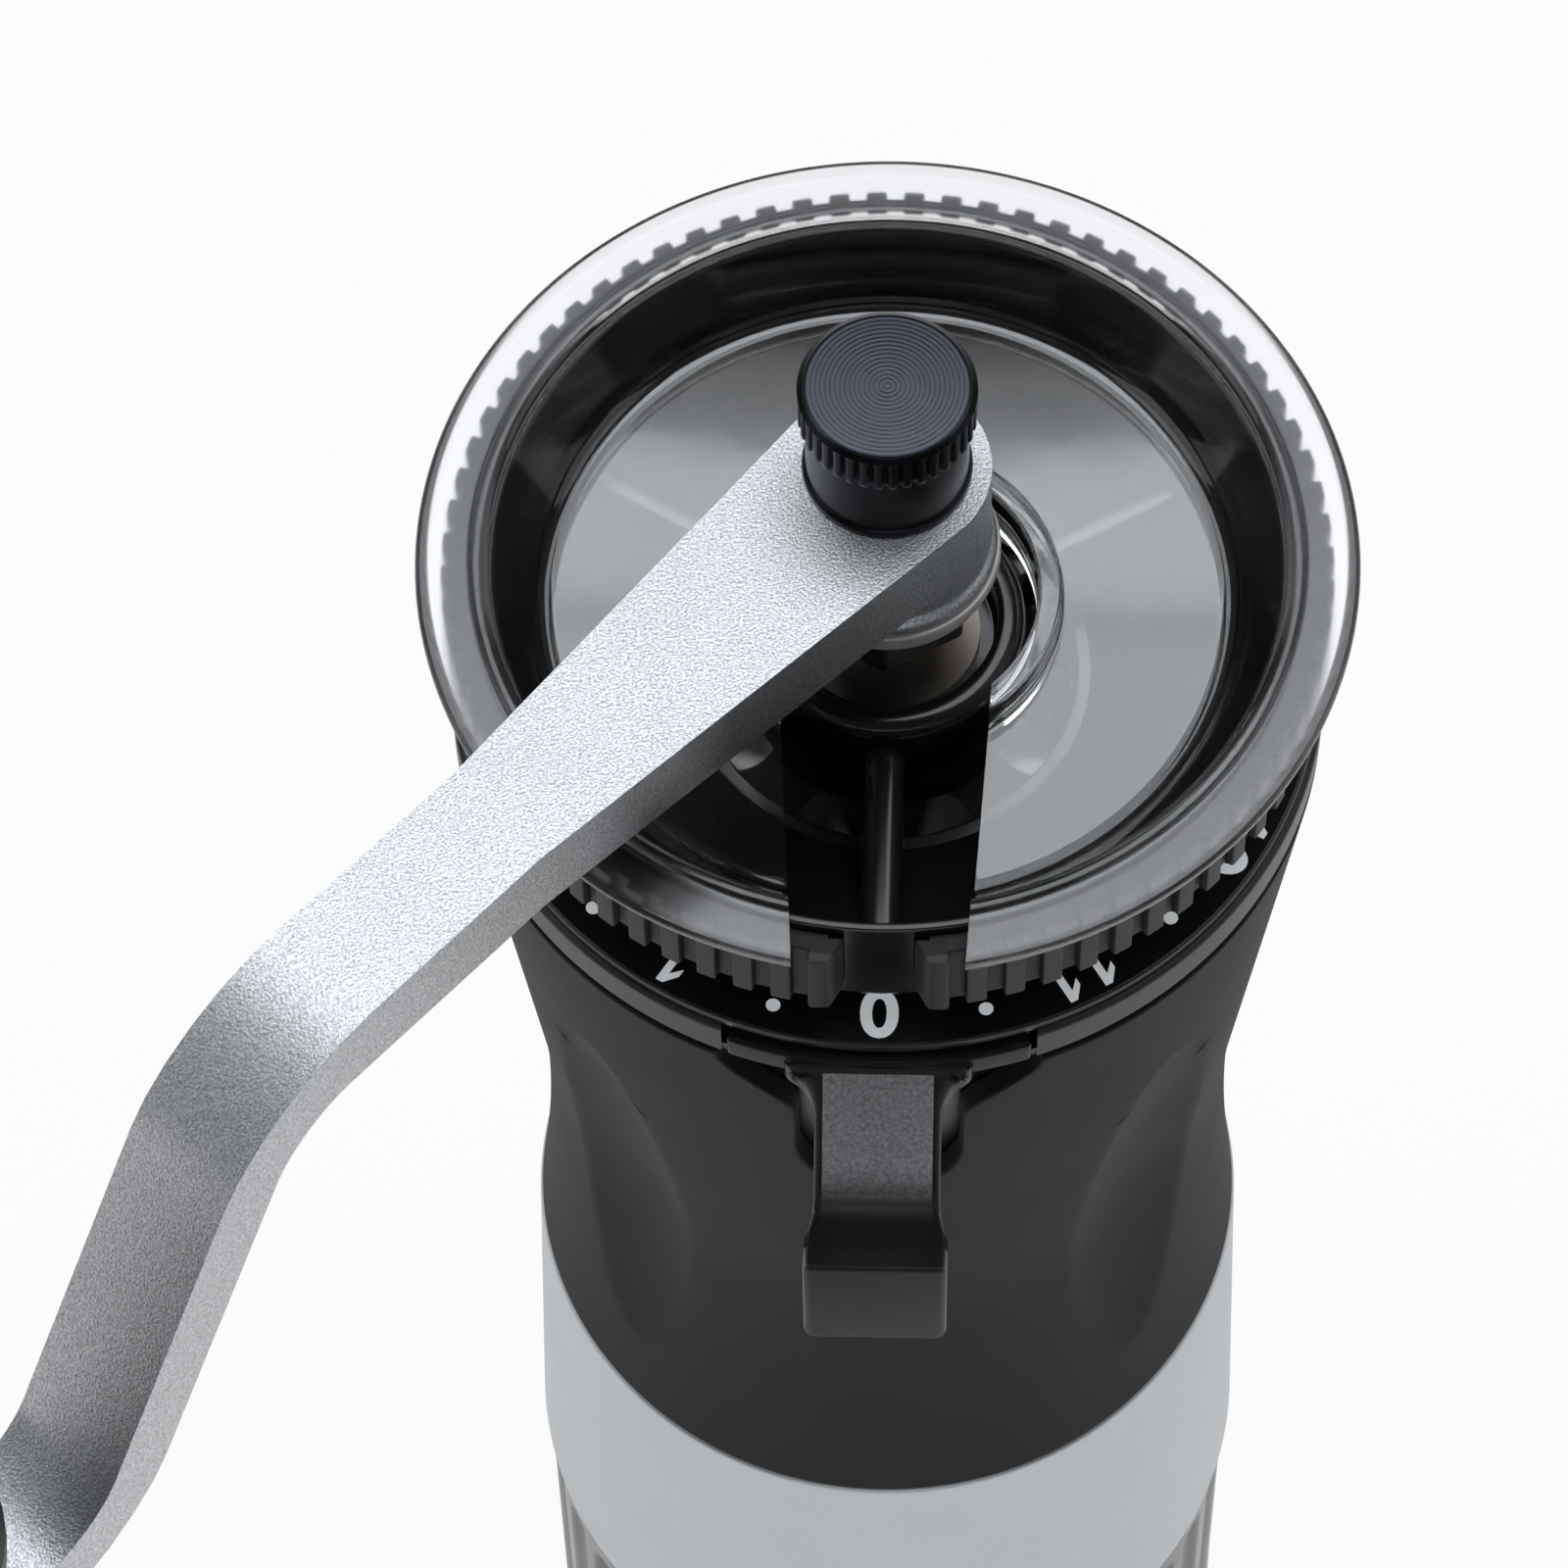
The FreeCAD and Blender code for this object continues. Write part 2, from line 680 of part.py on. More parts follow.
def trim_ring():
    """Thin grey ring round the shell's neck, open where the lever comes out."""
    ring = tube("trim_turned", "neck_ring_radius + slip", "trim_radius", "trim_z", "dial_z")
    window = solid("Box", "trim_window", ("-trim_window_half", "-trim_radius - over", "trim_z - over"),
                   Length="2 * trim_window_half", Width="trim_radius", Height="trim_height + 2 * over")
    return cut("trim_ring", ring, window)


def scale_ring():
    """Dished dial that carries the numbers, on the shell's neck."""
    return turned("scale_ring", [
        ("skirt_radius + fit", "dial_foot"), ("neck_ring_radius", "dial_foot"),
        ("neck_ring_radius", "dial_z"),
        ("dial_radius", "dial_z"), ("dial_radius", "dial_top"), ("dial_inner", "dial_top - dial_dish"),
        ("dial_inner", "seat_z"), ("skirt_radius + fit", "seat_z"),
    ])


def lower_bridge():
    """Spider on the shell's ledge that holds the shaft's lower bush."""
    body = new_body("lower_bridge")
    revolve(body, [
        ("bridge_bore - slip - bridge_ring_wall", "bridge_z"), ("bridge_bore - slip", "bridge_z"),
        ("bridge_bore - slip", "bridge_z + bridge_height"),
        ("bridge_bore - slip - bridge_ring_wall", "bridge_z + bridge_height"),
    ])
    arm = outline(body, "XY_Plane", [
        ("(bush_seat + bridge_hub) / 2", "-bridge_arm_width / 2"),
        ("bridge_bore - bridge_ring_wall / 2", "-bridge_arm_width / 2"),
        ("bridge_bore - bridge_ring_wall / 2", "bridge_arm_width / 2"),
        ("(bush_seat + bridge_hub) / 2", "bridge_arm_width / 2"),
    ], lift="bridge_z")
    polar(body, pad(body, arm, "bridge_arm_height"), "spoke_count")
    revolve(body, [
        ("bush_seat", "bridge_z"), ("bridge_hub", "bridge_z"),
        ("bridge_hub", "bridge_z + bridge_hub_height"),
        ("bush_seat", "bridge_z + bridge_hub_height"),
    ])
    return body


def lower_bush():
    return tube("lower_bush", "shaft_bore", "bush_radius", "bridge_z", "bridge_z + bridge_hub_height")


def hopper():
    """Funnel with a threaded skirt below, and a hub held by three spokes."""
    body = new_body("hopper")
    revolve(body, [
        ("hopper_mouth", "hopper_top"), ("hopper_bend", "bend_z"), ("throat_radius", "throat_z"),
        ("throat_radius", "throat_foot"), ("throat_radius + hopper_wall", "throat_foot"),
        ("throat_radius + hopper_wall", "throat_z - hopper_wall / 2"), ("skirt_inside", "seat_z"),
        ("skirt_inside", "skirt_foot"), ("skirt_radius", "skirt_foot"), ("skirt_radius", "seat_z"),
        ("hopper_foot", "seat_z"), ("hopper_outside", "rib_foot - hopper_wall"),
        ("hopper_outside", "hopper_top"),
    ])
    half = "spoke_width / 2"
    spoke = outline(body, "XZ_Plane", [
        (f"-{half}", "spoke_foot"), (half, "spoke_foot"),
        (half, "bend_z - spoke_round"),
        (f"{half} - spoke_round", "bend_z"), (f"-({half} - spoke_round)", "bend_z"),
        (f"-{half}", "bend_z - spoke_round"),
    ], {2: ("spoke_round", -1), 4: ("spoke_round", -1)}, lift="hub_radius - hub_round")
    polar(body, pad(body, spoke, "hopper_bend + fit - hub_radius + hub_round"), "spoke_count")
    revolve(body, [
        ("bush_seat", "hub_foot"), ("hub_radius - hub_round", "hub_foot"),
        ("hub_radius", "hub_foot + hub_round"),
        ("hub_radius", "hub_top - hub_round"), ("hub_radius - hub_round", "hub_top"),
        ("cup_radius", "hub_top"),
        ("cup_radius", "cup_floor"), ("bush_seat", "cup_floor"),
    ], {3: ("hub_round", -1)})
    return body


def upper_bush():
    """Flanged bush in the hub."""
    return turned("upper_bush", [
        ("shaft_bore", "cup_floor - bush_length"), ("bush_radius", "cup_floor - bush_length"),
        ("bush_radius", "cup_floor"), ("bush_flange", "cup_floor"),
        ("bush_flange", "cup_floor + bush_flange_height"),
        ("shaft_bore", "cup_floor + bush_flange_height"),
    ])


def adjusting_ring():
    """Band of grip ribs round the hopper; two cheeks at the front make the pointer's notch."""
    body = new_body("adjusting_ring")
    revolve(body, [
        ("band_inside", "rib_foot"), ("band_radius", "rib_foot"), ("band_radius", "rib_top"),
        ("band_inside", "rib_top"),
    ])
    rib = outline(body, "XY_Plane", [
        ("-rib_width / 2", "-rib_radius"), ("rib_width / 2", "-rib_radius"),
        ("rib_width / 2", "-band_inside - band_wall / 2"),
        ("-rib_width / 2", "-band_inside - band_wall / 2"),
    ], lift="rib_foot")
    rib.setExpression("AttachmentOffset.Rotation.Angle", formula("1.5 * rib_pitch"))
    polar(body, pad(body, rib, "rib_height"), "rib_count", "rib_pitch * (rib_count - 1)")
    for side in ("", "-"):
        cheek = outline(body, "XY_Plane", [
            (f"{side}cheek_foot", "-band_inside - band_wall / 2"), (f"{side}cheek_nose", "-rib_radius"),
            (f"{side}cheek_side", "-rib_radius"), (f"{side}cheek_side", "-band_inside - band_wall / 2"),
        ], lift="rib_foot")
        pad(body, cheek, "rib_height")
    return body


def detent_ring():
    """Toothed ring under the dial that the lever's pawl looks into."""
    body = new_body("detent_ring")
    revolve(body, [
        ("detent_inner", "detent_top - detent_height"), ("detent_radius", "detent_top - detent_height"),
        ("detent_radius", "detent_top"), ("detent_inner", "detent_top"),
    ])
    gap = outline(body, "XY_Plane", [
        ("detent_inner + detent_depth", "-detent_width / 2"), ("detent_radius + over", "-detent_width / 2"),
        ("detent_radius + over", "detent_width / 2"), ("detent_inner + detent_depth", "detent_width / 2"),
    ], lift="detent_top")
    polar(body, pocket(body, gap, "detent_depth"), "detent_count")
    return body


def screw_holes(body, foot, depth):
    """Three upright holes on the screw ring."""
    hole = ring_outline(body, "XY_Plane", ("screw_ring", "0"), "screw_radius + slip", foot)
    polar(body, pocket(body, hole, depth, reverse=True), "screw_count")


def burr_carrier():
    """Threaded cup for the outer burr; its flange is keyed to the shell."""
    body = new_body("burr_carrier")
    revolve(body, [
        ("carrier_mouth", "carrier_z"), ("carrier_flange", "carrier_z"),
        ("carrier_flange", "carrier_z + carrier_flange_height"),
        ("carrier_radius", "carrier_z + carrier_flange_height"),
        ("carrier_radius", "carrier_z + carrier_height"),
        ("carrier_inside", "carrier_z + carrier_height"), ("carrier_inside", "burr_z"),
        ("carrier_mouth", "burr_z"),
    ])
    way = outline(body, "XY_Plane", [
        ("burr_bore - key_reach - fit", "-key_width / 2 - fit"), ("burr_bore", "-key_width / 2 - fit"),
        ("burr_bore", "key_width / 2 + fit"), ("burr_bore - key_reach - fit", "key_width / 2 + fit"),
    ], lift="carrier_z")
    polar(body, pocket(body, way, "carrier_flange_height", reverse=True), "key_count")
    screw_holes(body, "carrier_z", "carrier_floor")
    return body


def outer_burr():
    """Ring burr with a tapering mouth and grooves."""
    body = new_body("outer_burr")
    revolve(body, [
        ("burr_foot_inside", "burr_z"), ("burr_radius", "burr_z"),
        ("burr_radius", "burr_z + burr_height"),
        ("burr_top_inside", "burr_z + burr_height"), ("burr_bend_inside", "burr_z + burr_bend_height"),
    ])
    groove = ring_outline(body, "XY_Plane", ("burr_bend_inside", "0"), "burr_groove_radius",
                          "burr_z + burr_bend_height")
    polar(body, pocket(body, groove, "burr_height", reverse=True), "burr_groove_count")
    screw_holes(body, "burr_z", "screw_length - carrier_floor + rest")
    return body


def burr_screws():
    """Screws up through the carrier's floor into the burr, as one group."""
    screws = []
    for number in range(sheet_count("screw_count")):
        bearing = f"{number} * 360 / screw_count"
        spot = (f"screw_ring * cos({bearing})", f"screw_ring * sin({bearing})")
        shank = solid("Cylinder", "screw_shank", (*spot, "carrier_z"), Radius="screw_radius",
                      Height="screw_length")
        head = solid("Cylinder", "screw_head", (*spot, "carrier_z - screw_head_height"),
                     Radius="screw_head_radius", Height="screw_head_height")
        screws.append(fused("screw", shank, head))
    group = doc.addObject("Part::Compound", "burr_screws")
    group.Links = screws
    return group


def inner_burr():
    """Cone burr on the shaft, with feed flutes."""
    body = new_body("inner_burr")
    revolve(body, [
        ("shaft_bore", "burr_z"), ("cone_foot", "burr_z"), ("cone_bend", "burr_z + cone_bend_height"),
        ("cone_top", "burr_z + burr_height"), ("shaft_bore", "burr_z + burr_height"),
    ])
    flute = ring_outline(body, "XY_Plane", ("cone_flute_ring", "0"), "cone_flute_radius",
                         "burr_z + cone_bend_height")
    polar(body, pocket(body, flute, "burr_height", reverse=True), "cone_flute_count")
    return body


def burr_washer():
    return tube("burr_washer", "shaft_bore", "burr_washer_radius", "burr_z - burr_washer_height", "burr_z")


def hexagon_nut(name, radius, foot, height):
    prism = solid("Prism", name + "_hexagon", ("0", "0", foot), Circumradius=radius, Height=height)
    prism.Polygon = 6
    bore = solid("Cylinder", name + "_bore", ("0", "0", f"{foot} - over"), Radius="shaft_bore",
                 Height=f"{height} + 2 * over")
    return cut(name, prism, bore)


def burr_nut():
    return hexagon_nut("burr_nut", "burr_nut_radius", "burr_z - burr_washer_height - burr_nut_height",
                       "burr_nut_height")


def hex_nut():
    return hexagon_nut("hex_nut", "nut_radius", "nut_foot", "nut_height")


def drive_shaft():
    return solid("Cylinder", "drive_shaft", ("0", "0", "bridge_z + shaft_foot"), Radius="shaft_radius",
                 Height="shaft_top - bridge_z - shaft_foot")


def lower_washer():
    return tube("lower_washer", "shaft_bore", "lower_washer_radius", "washer_foot",
                "washer_foot + washer_height")


def upper_washer():
    return tube("upper_washer", "shaft_bore", "upper_washer_radius", "washer_foot + washer_height",
                "boss_foot")


def lid():
    """Clear dish with a flat flange, a collared hole over the hub and a filling slot at the front."""
    body = new_body("lid")
    revolve(body, [
        ("lid_hole", "lid_under - lid_skirt"), ("lid_hole + lid_collar", "lid_under - lid_skirt"),
        ("lid_hole + lid_collar", "lid_under"), ("lid_floor_radius + lid_wall", "lid_under"),
        ("hopper_mouth - fit", "hopper_top"), ("lid_radius - lid_edge", "hopper_top"),
        ("lid_radius", "hopper_top + lid_edge"), ("lid_radius", "rim_z - lid_edge"),
        ("lid_radius - lid_edge", "rim_z"), ("lid_ridge", "rim_z"), ("lid_floor_radius", "lid_floor_z"),
        ("lid_hole + lid_collar", "lid_floor_z"),
        ("lid_hole + lid_collar", "lid_floor_z + lid_collar_rise"),
        ("lid_hole", "lid_floor_z + lid_collar_rise"),
    ])
    slot = outline(body, "XY_Plane", [
        ("-slot_inner_half", "-lid_hole / 2"), ("-slot_outer_half", "-lid_radius - over"),
        ("slot_outer_half", "-lid_radius - over"), ("slot_inner_half", "-lid_hole / 2"),
    ], lift="lid_under - lid_skirt - over")
    pocket(body, slot, "lid_depth + lid_floor + lid_skirt + 2 * over", reverse=True)
    return body


def thumb_nut():
    """Tall knurled nut that clamps the crank."""
    body = new_body("thumb_nut")
    top = "arm_top + thumb_height"
    revolve(body, [
        ("0", f"{top} - thumb_cover"), ("shaft_bore", f"{top} - thumb_cover"), ("shaft_bore", "arm_top"),
        ("thumb_flange", "arm_top"), ("thumb_flange", "arm_top + thumb_flange_height"),
        ("thumb_neck", "arm_top + thumb_flange_height"), ("thumb_neck", f"{top} - thumb_head_height"),
        ("thumb_head", f"{top} - thumb_head_height"), ("thumb_head", f"{top} - thumb_chamfer"),
        ("thumb_face", top), ("thumb_dimple", top), ("0", f"{top} - thumb_dimple_depth"),
    ])
    groove = ring_outline(body, "XY_Plane", ("thumb_head + knurl_radius / 3", "0"), "knurl_radius",
                          f"{top} - thumb_head_height - over")
    polar(body, pocket(body, groove, "thumb_head_height + 2 * over", reverse=True), "knurl_count")
    return body


def crank_arm():
    """Flat arm that steps down outside the grip; its outline tapers from the hub to a long narrow neck."""
    side = new_body("arm_side")
    profile = outline(side, "XZ_Plane", [
        ("-hub_end_radius - over", "boss_foot"), ("hub_end_radius", "boss_foot"),
        ("hub_end_radius", "arm_under"),
        ("arm_flat - slope_shift", "arm_under"), ("slope_end - slope_shift", "end_under"),
        ("crank_radius + 2 * knob_end_radius", "end_under"),
        ("crank_radius + 2 * knob_end_radius", "end_top"),
        ("slope_end", "end_top"), ("arm_flat", "arm_top"), ("-hub_end_radius - over", "arm_top"),
    ])
    block = pad(side, profile, "2 * hub_end_radius + 2 * over", both_ways=True)
    doc.recompute()
    for radius, corners in (
        ("bend_outer", (("arm_flat", "arm_top"), ("slope_end - slope_shift", "end_under"))),
        ("bend_inner", (("arm_flat - slope_shift", "arm_under"), ("slope_end", "end_top"))),
    ):
        bend = side.newObject("PartDesign::Fillet", "arm_bend")
        spots = [(value(x), value(z)) for x, z in corners]
        bend.Base = (block, upright_edges(block.Shape, spots))
        tie(bend, Radius=radius)
        doc.recompute()
        block = bend
    plan = new_body("arm_plan")
    shape = outline(plan, "XY_Plane", [
        ("0", "-hub_end_radius"), ("arm_neck", "-arm_neck_half"), ("crank_radius", "-knob_end_radius"),
        ("crank_radius + knob_end_radius", "0"), ("crank_radius", "knob_end_radius"),
        ("arm_neck", "arm_neck_half"), ("0", "hub_end_radius"), ("-hub_end_radius", "0"),
    ], {2: ("knob_end_radius", -1), 3: ("knob_end_radius", -1), 6: ("hub_end_radius", -1),
        7: ("hub_end_radius", -1)}, lift="end_under - over")
    pad(plan, shape, "arm_drop + boss_height + arm_thick + 2 * over")
    arm = doc.addObject("Part::Common", "arm_blank")
    arm.Base = side
    arm.Tool = plan
    doc.recompute()
    rounded = doc.addObject("Part::Fillet", "arm_rounded")
    rounded.Base = arm
    low = value("boss_foot") + TINY
    radius = value("arm_round")
    rounded.Edges = [
        (number, radius, radius) for number, edge in enumerate(arm.Shape.Edges, start=1)
        if edge.BoundBox.XMax > value("hub_end_radius") + TINY
        and not (edge.BoundBox.XMax < value("hub_end_radius") + 1 and edge.BoundBox.ZMin < low)
        and edge.BoundBox.YLength < 2 * value("arm_neck_half") - TINY
        and not abs(edge.BoundBox.ZLength - value("arm_thick")) < TINY
    ]
    shaft_hole = solid("Cylinder", "arm_shaft_hole", ("0", "0", "boss_foot - over"), Radius="shaft_bore",
                       Height="boss_height + 2 * over")
    pin_hole = solid("Cylinder", "arm_pin_hole", ("crank_radius", "0", "end_under - over"),
                     Radius="pin_radius + slip", Height="arm_thick + 2 * over")
    drilled = cut("crank_arm", rounded, shaft_hole, pin_hole)
    drilled.setExpression("Placement.Rotation.Angle", formula("crank_bearing"))
    return drilled


def on_crank(thing):
    """Move a piece made on the grinder's axis out to the crank's knob."""
    thing.setExpression("Placement.Base.x", formula("crank_radius * cos(crank_bearing)"))
    thing.setExpression("Placement.Base.y", formula("crank_radius * sin(crank_bearing)"))
    return thing


def knob_pin():
    """Riveted pin with a head inside the knob."""
    return on_crank(turned("knob_pin", [
        ("0", "end_under"), ("pin_radius", "end_under"), ("pin_radius", "socket_z"),
        ("pin_head_radius", "socket_z"),
        ("pin_head_radius", "socket_z + pin_head_height"), ("0", "socket_z + pin_head_height"),
    ]))


def crank_knob():
    """Rounded knob with a bore for the pin and a socket that the cap closes."""
    return on_crank(turned("crank_knob", [
        ("pin_radius + slip", "knob_foot_z"), ("knob_foot", "knob_foot_z"),
        ("knob_belly", "knob_foot_z + knob_belly_rise"), ("knob_crown", "knob_top"),
        ("knob_socket", "knob_top"),
        ("knob_socket", "socket_z"), ("pin_radius + slip", "socket_z"),
    ], {1: ("knob_bow", -1), 2: ("crown_bow", -1)}))


def knob_cap():
    """Flat cap over the pin's head."""
    return on_crank(turned("knob_cap", [
        ("0", "knob_top - cap_height"), ("knob_socket - slip", "knob_top - cap_height"),
        ("knob_socket - slip", "knob_top"), ("0", "knob_top"),
    ]))


def release_lever():
    """Finger lever: a bar with a pawl inside the neck, a wide tab, a sloping neck and an upturned block."""
    body = new_body("lever_solid")
    bar = outline(body, "YZ_Plane", [
        ("-bar_inner", "trim_z - shoulder_height + fit"),
        ("-detent_radius - rest", "trim_z - shoulder_height + fit"),
        ("-detent_radius - rest", "trim_z - bar_under"), ("-tab_reach", "trim_z - bar_under"),
        ("-tab_reach", "trim_z + bar_top"), ("-bar_inner", "trim_z + bar_top"),
    ])
    pad(body, bar, "2 * bar_half", both_ways=True)
    tab = outline(body, "YZ_Plane", [
        ("-neck_ring_radius - fit", "trim_z + rest"), ("-tab_reach", "trim_z + rest"),
        ("-tab_reach", "trim_z + tab_top"), ("-neck_ring_radius - fit", "trim_z + tab_top"),
    ])
    pad(body, tab, "2 * tab_half", both_ways=True)
    neck = outline(body, "YZ_Plane", [
        ("-tab_reach + lever_tuck", "trim_z + tab_top"), ("-tab_reach + lever_tuck", "trim_z - bar_under"),
        ("-neck_valley + lever_tuck", "valley_z - neck_thick"), ("-block_back - lever_tuck", "block_foot"),
        ("-block_front", "block_foot"),
        ("-block_front", "block_top"), ("-block_back", "block_top"), ("-neck_valley", "valley_z"),
    ], {6: ("valley_bow", 1)})
    pad(body, neck, "2 * neck_half", both_ways=True)
    block = outline(body, "YZ_Plane", [
        ("-block_back - lever_tuck", "block_foot"), ("-block_front", "block_foot"), ("-block_front", "block_top"),
        ("-block_back", "block_top"),
    ])
    pad(body, block, "2 * block_half", both_ways=True)
    bore = solid("Cylinder", "lever_bore", ("-bar_half - over", "-lever_pin_ring", "lever_pin_z"),
                 axis=(0, 1, 0), turn="90", Radius="lever_pin_radius + slip", Height="2 * bar_half + 2 * over")
    return cut("release_lever", body, bore)


def lever_pin():
    return solid("Cylinder", "lever_pin", ("-lever_pin_half", "-lever_pin_ring", "lever_pin_z"),
                 axis=(0, 1, 0), turn="90", Radius="lever_pin_radius", Height="2 * lever_pin_half")


def lever_spring():
    """Leaf under the dial that pushes the lever's bar down."""
    return solid("Box", "lever_spring", ("-leaf_width / 2", "-leaf_outer", "dial_foot - leaf_thick"),
                 Length="leaf_width", Width="leaf_outer - leaf_inner", Height="leaf_thick")


BUILDERS = (
    jar, jar_seal, base_foot, silver_collar, body_shell, grip_sleeve, trim_ring, scale_ring, lower_bridge,
    lower_bush, hopper, upper_bush, adjusting_ring, detent_ring, burr_carrier, outer_burr, burr_screws,
    inner_burr, burr_washer, burr_nut, hex_nut, drive_shaft, lower_washer, upper_washer, lid, thumb_nut,
    crank_arm, knob_pin, crank_knob, knob_cap, release_lever, lever_pin, lever_spring,
)


def main():
    pieces = {}
    for build in BUILDERS:
        piece = build()
        piece.Label = build.__name__
        pieces[build.__name__] = piece
    doc.recompute()
    failed = [thing.Label for thing in doc.Objects if {"Invalid", "Error"} & set(thing.State)]
    failed += [name for name, piece in pieces.items() if piece.Shape.isNull() or not piece.Shape.isValid()]
    if failed:
        raise RuntimeError("not built: " + ", ".join(failed))
    os.makedirs("parts", exist_ok=True)
    for name, piece in pieces.items():
        piece.Shape.exportStep(f"parts/{name}.step")
        print(name, len(piece.Shape.Solids), round(piece.Shape.Volume, 1))


main()
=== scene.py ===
"""Dress the packed hand crank coffee grinder: detailed pieces, finishes, stage and camera.

Metres, in the frame of the packed model. +Z is up and the lever is at the front (-Y).
"""
import json
import math

import bmesh
import bpy
from mathutils import Matrix, Vector


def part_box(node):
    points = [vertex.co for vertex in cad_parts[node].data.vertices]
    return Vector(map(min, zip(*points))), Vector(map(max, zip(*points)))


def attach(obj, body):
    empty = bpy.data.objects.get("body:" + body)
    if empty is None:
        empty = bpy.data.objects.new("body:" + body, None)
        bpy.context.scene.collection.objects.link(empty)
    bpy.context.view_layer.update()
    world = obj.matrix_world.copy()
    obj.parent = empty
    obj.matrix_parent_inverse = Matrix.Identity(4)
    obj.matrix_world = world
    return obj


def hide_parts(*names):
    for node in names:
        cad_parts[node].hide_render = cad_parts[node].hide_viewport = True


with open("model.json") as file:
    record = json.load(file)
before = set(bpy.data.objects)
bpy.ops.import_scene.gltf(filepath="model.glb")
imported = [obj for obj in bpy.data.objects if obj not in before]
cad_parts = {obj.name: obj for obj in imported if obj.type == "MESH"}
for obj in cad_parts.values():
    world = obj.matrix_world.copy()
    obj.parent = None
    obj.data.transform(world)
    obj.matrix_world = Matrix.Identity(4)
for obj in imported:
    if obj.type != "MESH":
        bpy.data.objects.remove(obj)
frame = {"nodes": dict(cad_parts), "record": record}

bl_info = {
    "name": "Hand crank grinder",
    "version": (1, 0, 0),
    "blender": (4, 5, 0),
    "location": "3D View > Sidebar > Grinder",
    "description": "Builds the visible pieces of a hand crank coffee grinder on its packed frame",
    "category": "Object",
}

MM = 0.001
TINY = 1e-7
WELD = 1e-6
FRONT = -math.pi / 2
TURN = 2 * math.pi
ROUND_STEPS = 192
SMALL_STEPS = 128
ARC_STEPS = 6
SHAFT_HOLE = 4 * MM
# In the font's own units: how much a figure's stroke is thickened, where a figure ends, how wide the bar of a
# one is, and the corners of a one's flag, measured to the left of its bar and down from its top.
STROKE = 0.028
FIGURE_TOP = 0.7
ONE_BAR = 0.1
ONE_FLAG = ((0.004, 0), (0.13, 0.17), (0.13, 0.28), (0.004, 0.14))
FINISH_PREFIX = "finish_"
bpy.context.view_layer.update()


def length(name, description, millimetres):
    """A size that a user may change, typed in millimetres."""
    return bpy.props.FloatProperty(
        name=name, description=description, default=millimetres * MM, precision=5, unit="LENGTH",
        subtype="DISTANCE")


def angle(name, description, degrees):
    """An angle that a user may change, typed in degrees."""
    return bpy.props.FloatProperty(
        name=name, description=description, default=math.radians(degrees), unit="ROTATION", subtype="ANGLE")


def count(name, description, number):
    """How many times a form repeats."""
    return bpy.props.IntProperty(name=name, description=description, default=number, min=1)


def colour(name, description, red, green, blue):
    """A finish's colour, typed as the 0 to 255 shades that a screen shows."""
    shades = [from_screen(shade / 255) for shade in (red, green, blue)]
    return bpy.props.FloatVectorProperty(
        name=name, description=description, default=shades, size=3, min=0, max=1, subtype="COLOR")


def from_screen(shade):
    """The linear value of a screen shade from 0 to 1."""
    return shade / 12.92 if shade <= 0.04045 else ((shade + 0.055) / 1.055) ** 2.4


class GripSizes(bpy.types.PropertyGroup):
    """Rubber sleeve, its notch for the lever and its finger hollows."""
    waist: length("Waist radius", "Radius where the sleeve is narrowest", 32.3)
    waist_rise: length("Waist rise", "Height of the waist above the sleeve's foot", 32)
    flank_rise: length("Flank rise", "Height over the waist where the straight flare starts", 15.5)
    lower_bow: length("Lower bow", "Radius of the curve below the waist", 270)
    upper_bow: length("Upper bow", "Radius of the curve above the waist", 150)
    wall: length("Wall", "Thickness of the rubber", 2.1)
    hollow_bearing: angle("Hollow bearing", "Bearing of a finger hollow from the front", 46)
    hollow_rise: length("Hollow rise", "Height of a hollow's middle above the foot", 44)
    hollow_half: length("Hollow half length", "Half of a hollow's length", 33)
    hollow_width: length("Hollow half width", "Half of a hollow's width at its middle", 7.6)
    hollow_depth: length("Hollow depth", "Depth of a hollow at its middle", 1.8)
    notch_depth: length("Notch depth", "How far the notch runs down from the sleeve's top", 26)
    notch_half: length("Notch half width", "Half width of the notch at its straight part", 7.4)
    notch_flare: length("Notch flare", "Extra half width where the notch opens at the top", 7)
    notch_flare_depth: length("Flare depth", "Height over which the notch opens", 9)


class DialSizes(bpy.types.PropertyGroup):
    """Figures and dots of the numbered dial, and the ribs above it."""
    figures: count("Figures", "Numbers round the dial", 12)
    figure_height: length("Figure height", "Height of one figure", 5.0)
    figure_ring: length("Figure ring", "Radius of the ring through the figures' middles", 34.2)
    dot_radius: length("Dot radius", "Radius of a dot between two figures", 0.62)
    dot_ring: length("Dot ring", "Radius of the ring of dots", 34.8)
    ink: length("Ink", "How far the print stands proud of the dial", 0.08)
    ribs: count("Ribs", "Ribs round the adjusting ring", 68)
    rib_pitch: angle("Rib pitch", "Bearing from one rib to the next", 5)
    rib_width: length("Rib width", "Width of one rib", 1.8)
    rib_edge: length("Rib edge", "Rounding of a rib's edges", 0.24)


class LidSizes(bpy.types.PropertyGroup):
    """Clear lid."""
    floor_radius: length("Floor radius", "Radius of the flat floor", 29.6)
    floor_thick: length("Floor thickness", "Thickness of the floor", 1.8)
    depth: length("Depth", "Drop from the rim to the floor", 8)
    ridge: length("Ridge radius", "Radius of the bead inside the flange", 34.2)
    bead: length("Bead", "Height of the bead over the flange", 0.35)
    flange: length("Flange", "Thickness of the flange", 2)
    hole: length("Hole radius", "Radius of the hole over the hub", 12.9)
    collar: length("Collar", "Width and height of the collar round the hole", 2)
    slot_inner: length("Slot inner half", "Half width of the filling slot at the hole", 9.2)
    slot_outer: length("Slot outer half", "Half width of the filling slot at the rim", 7.1)


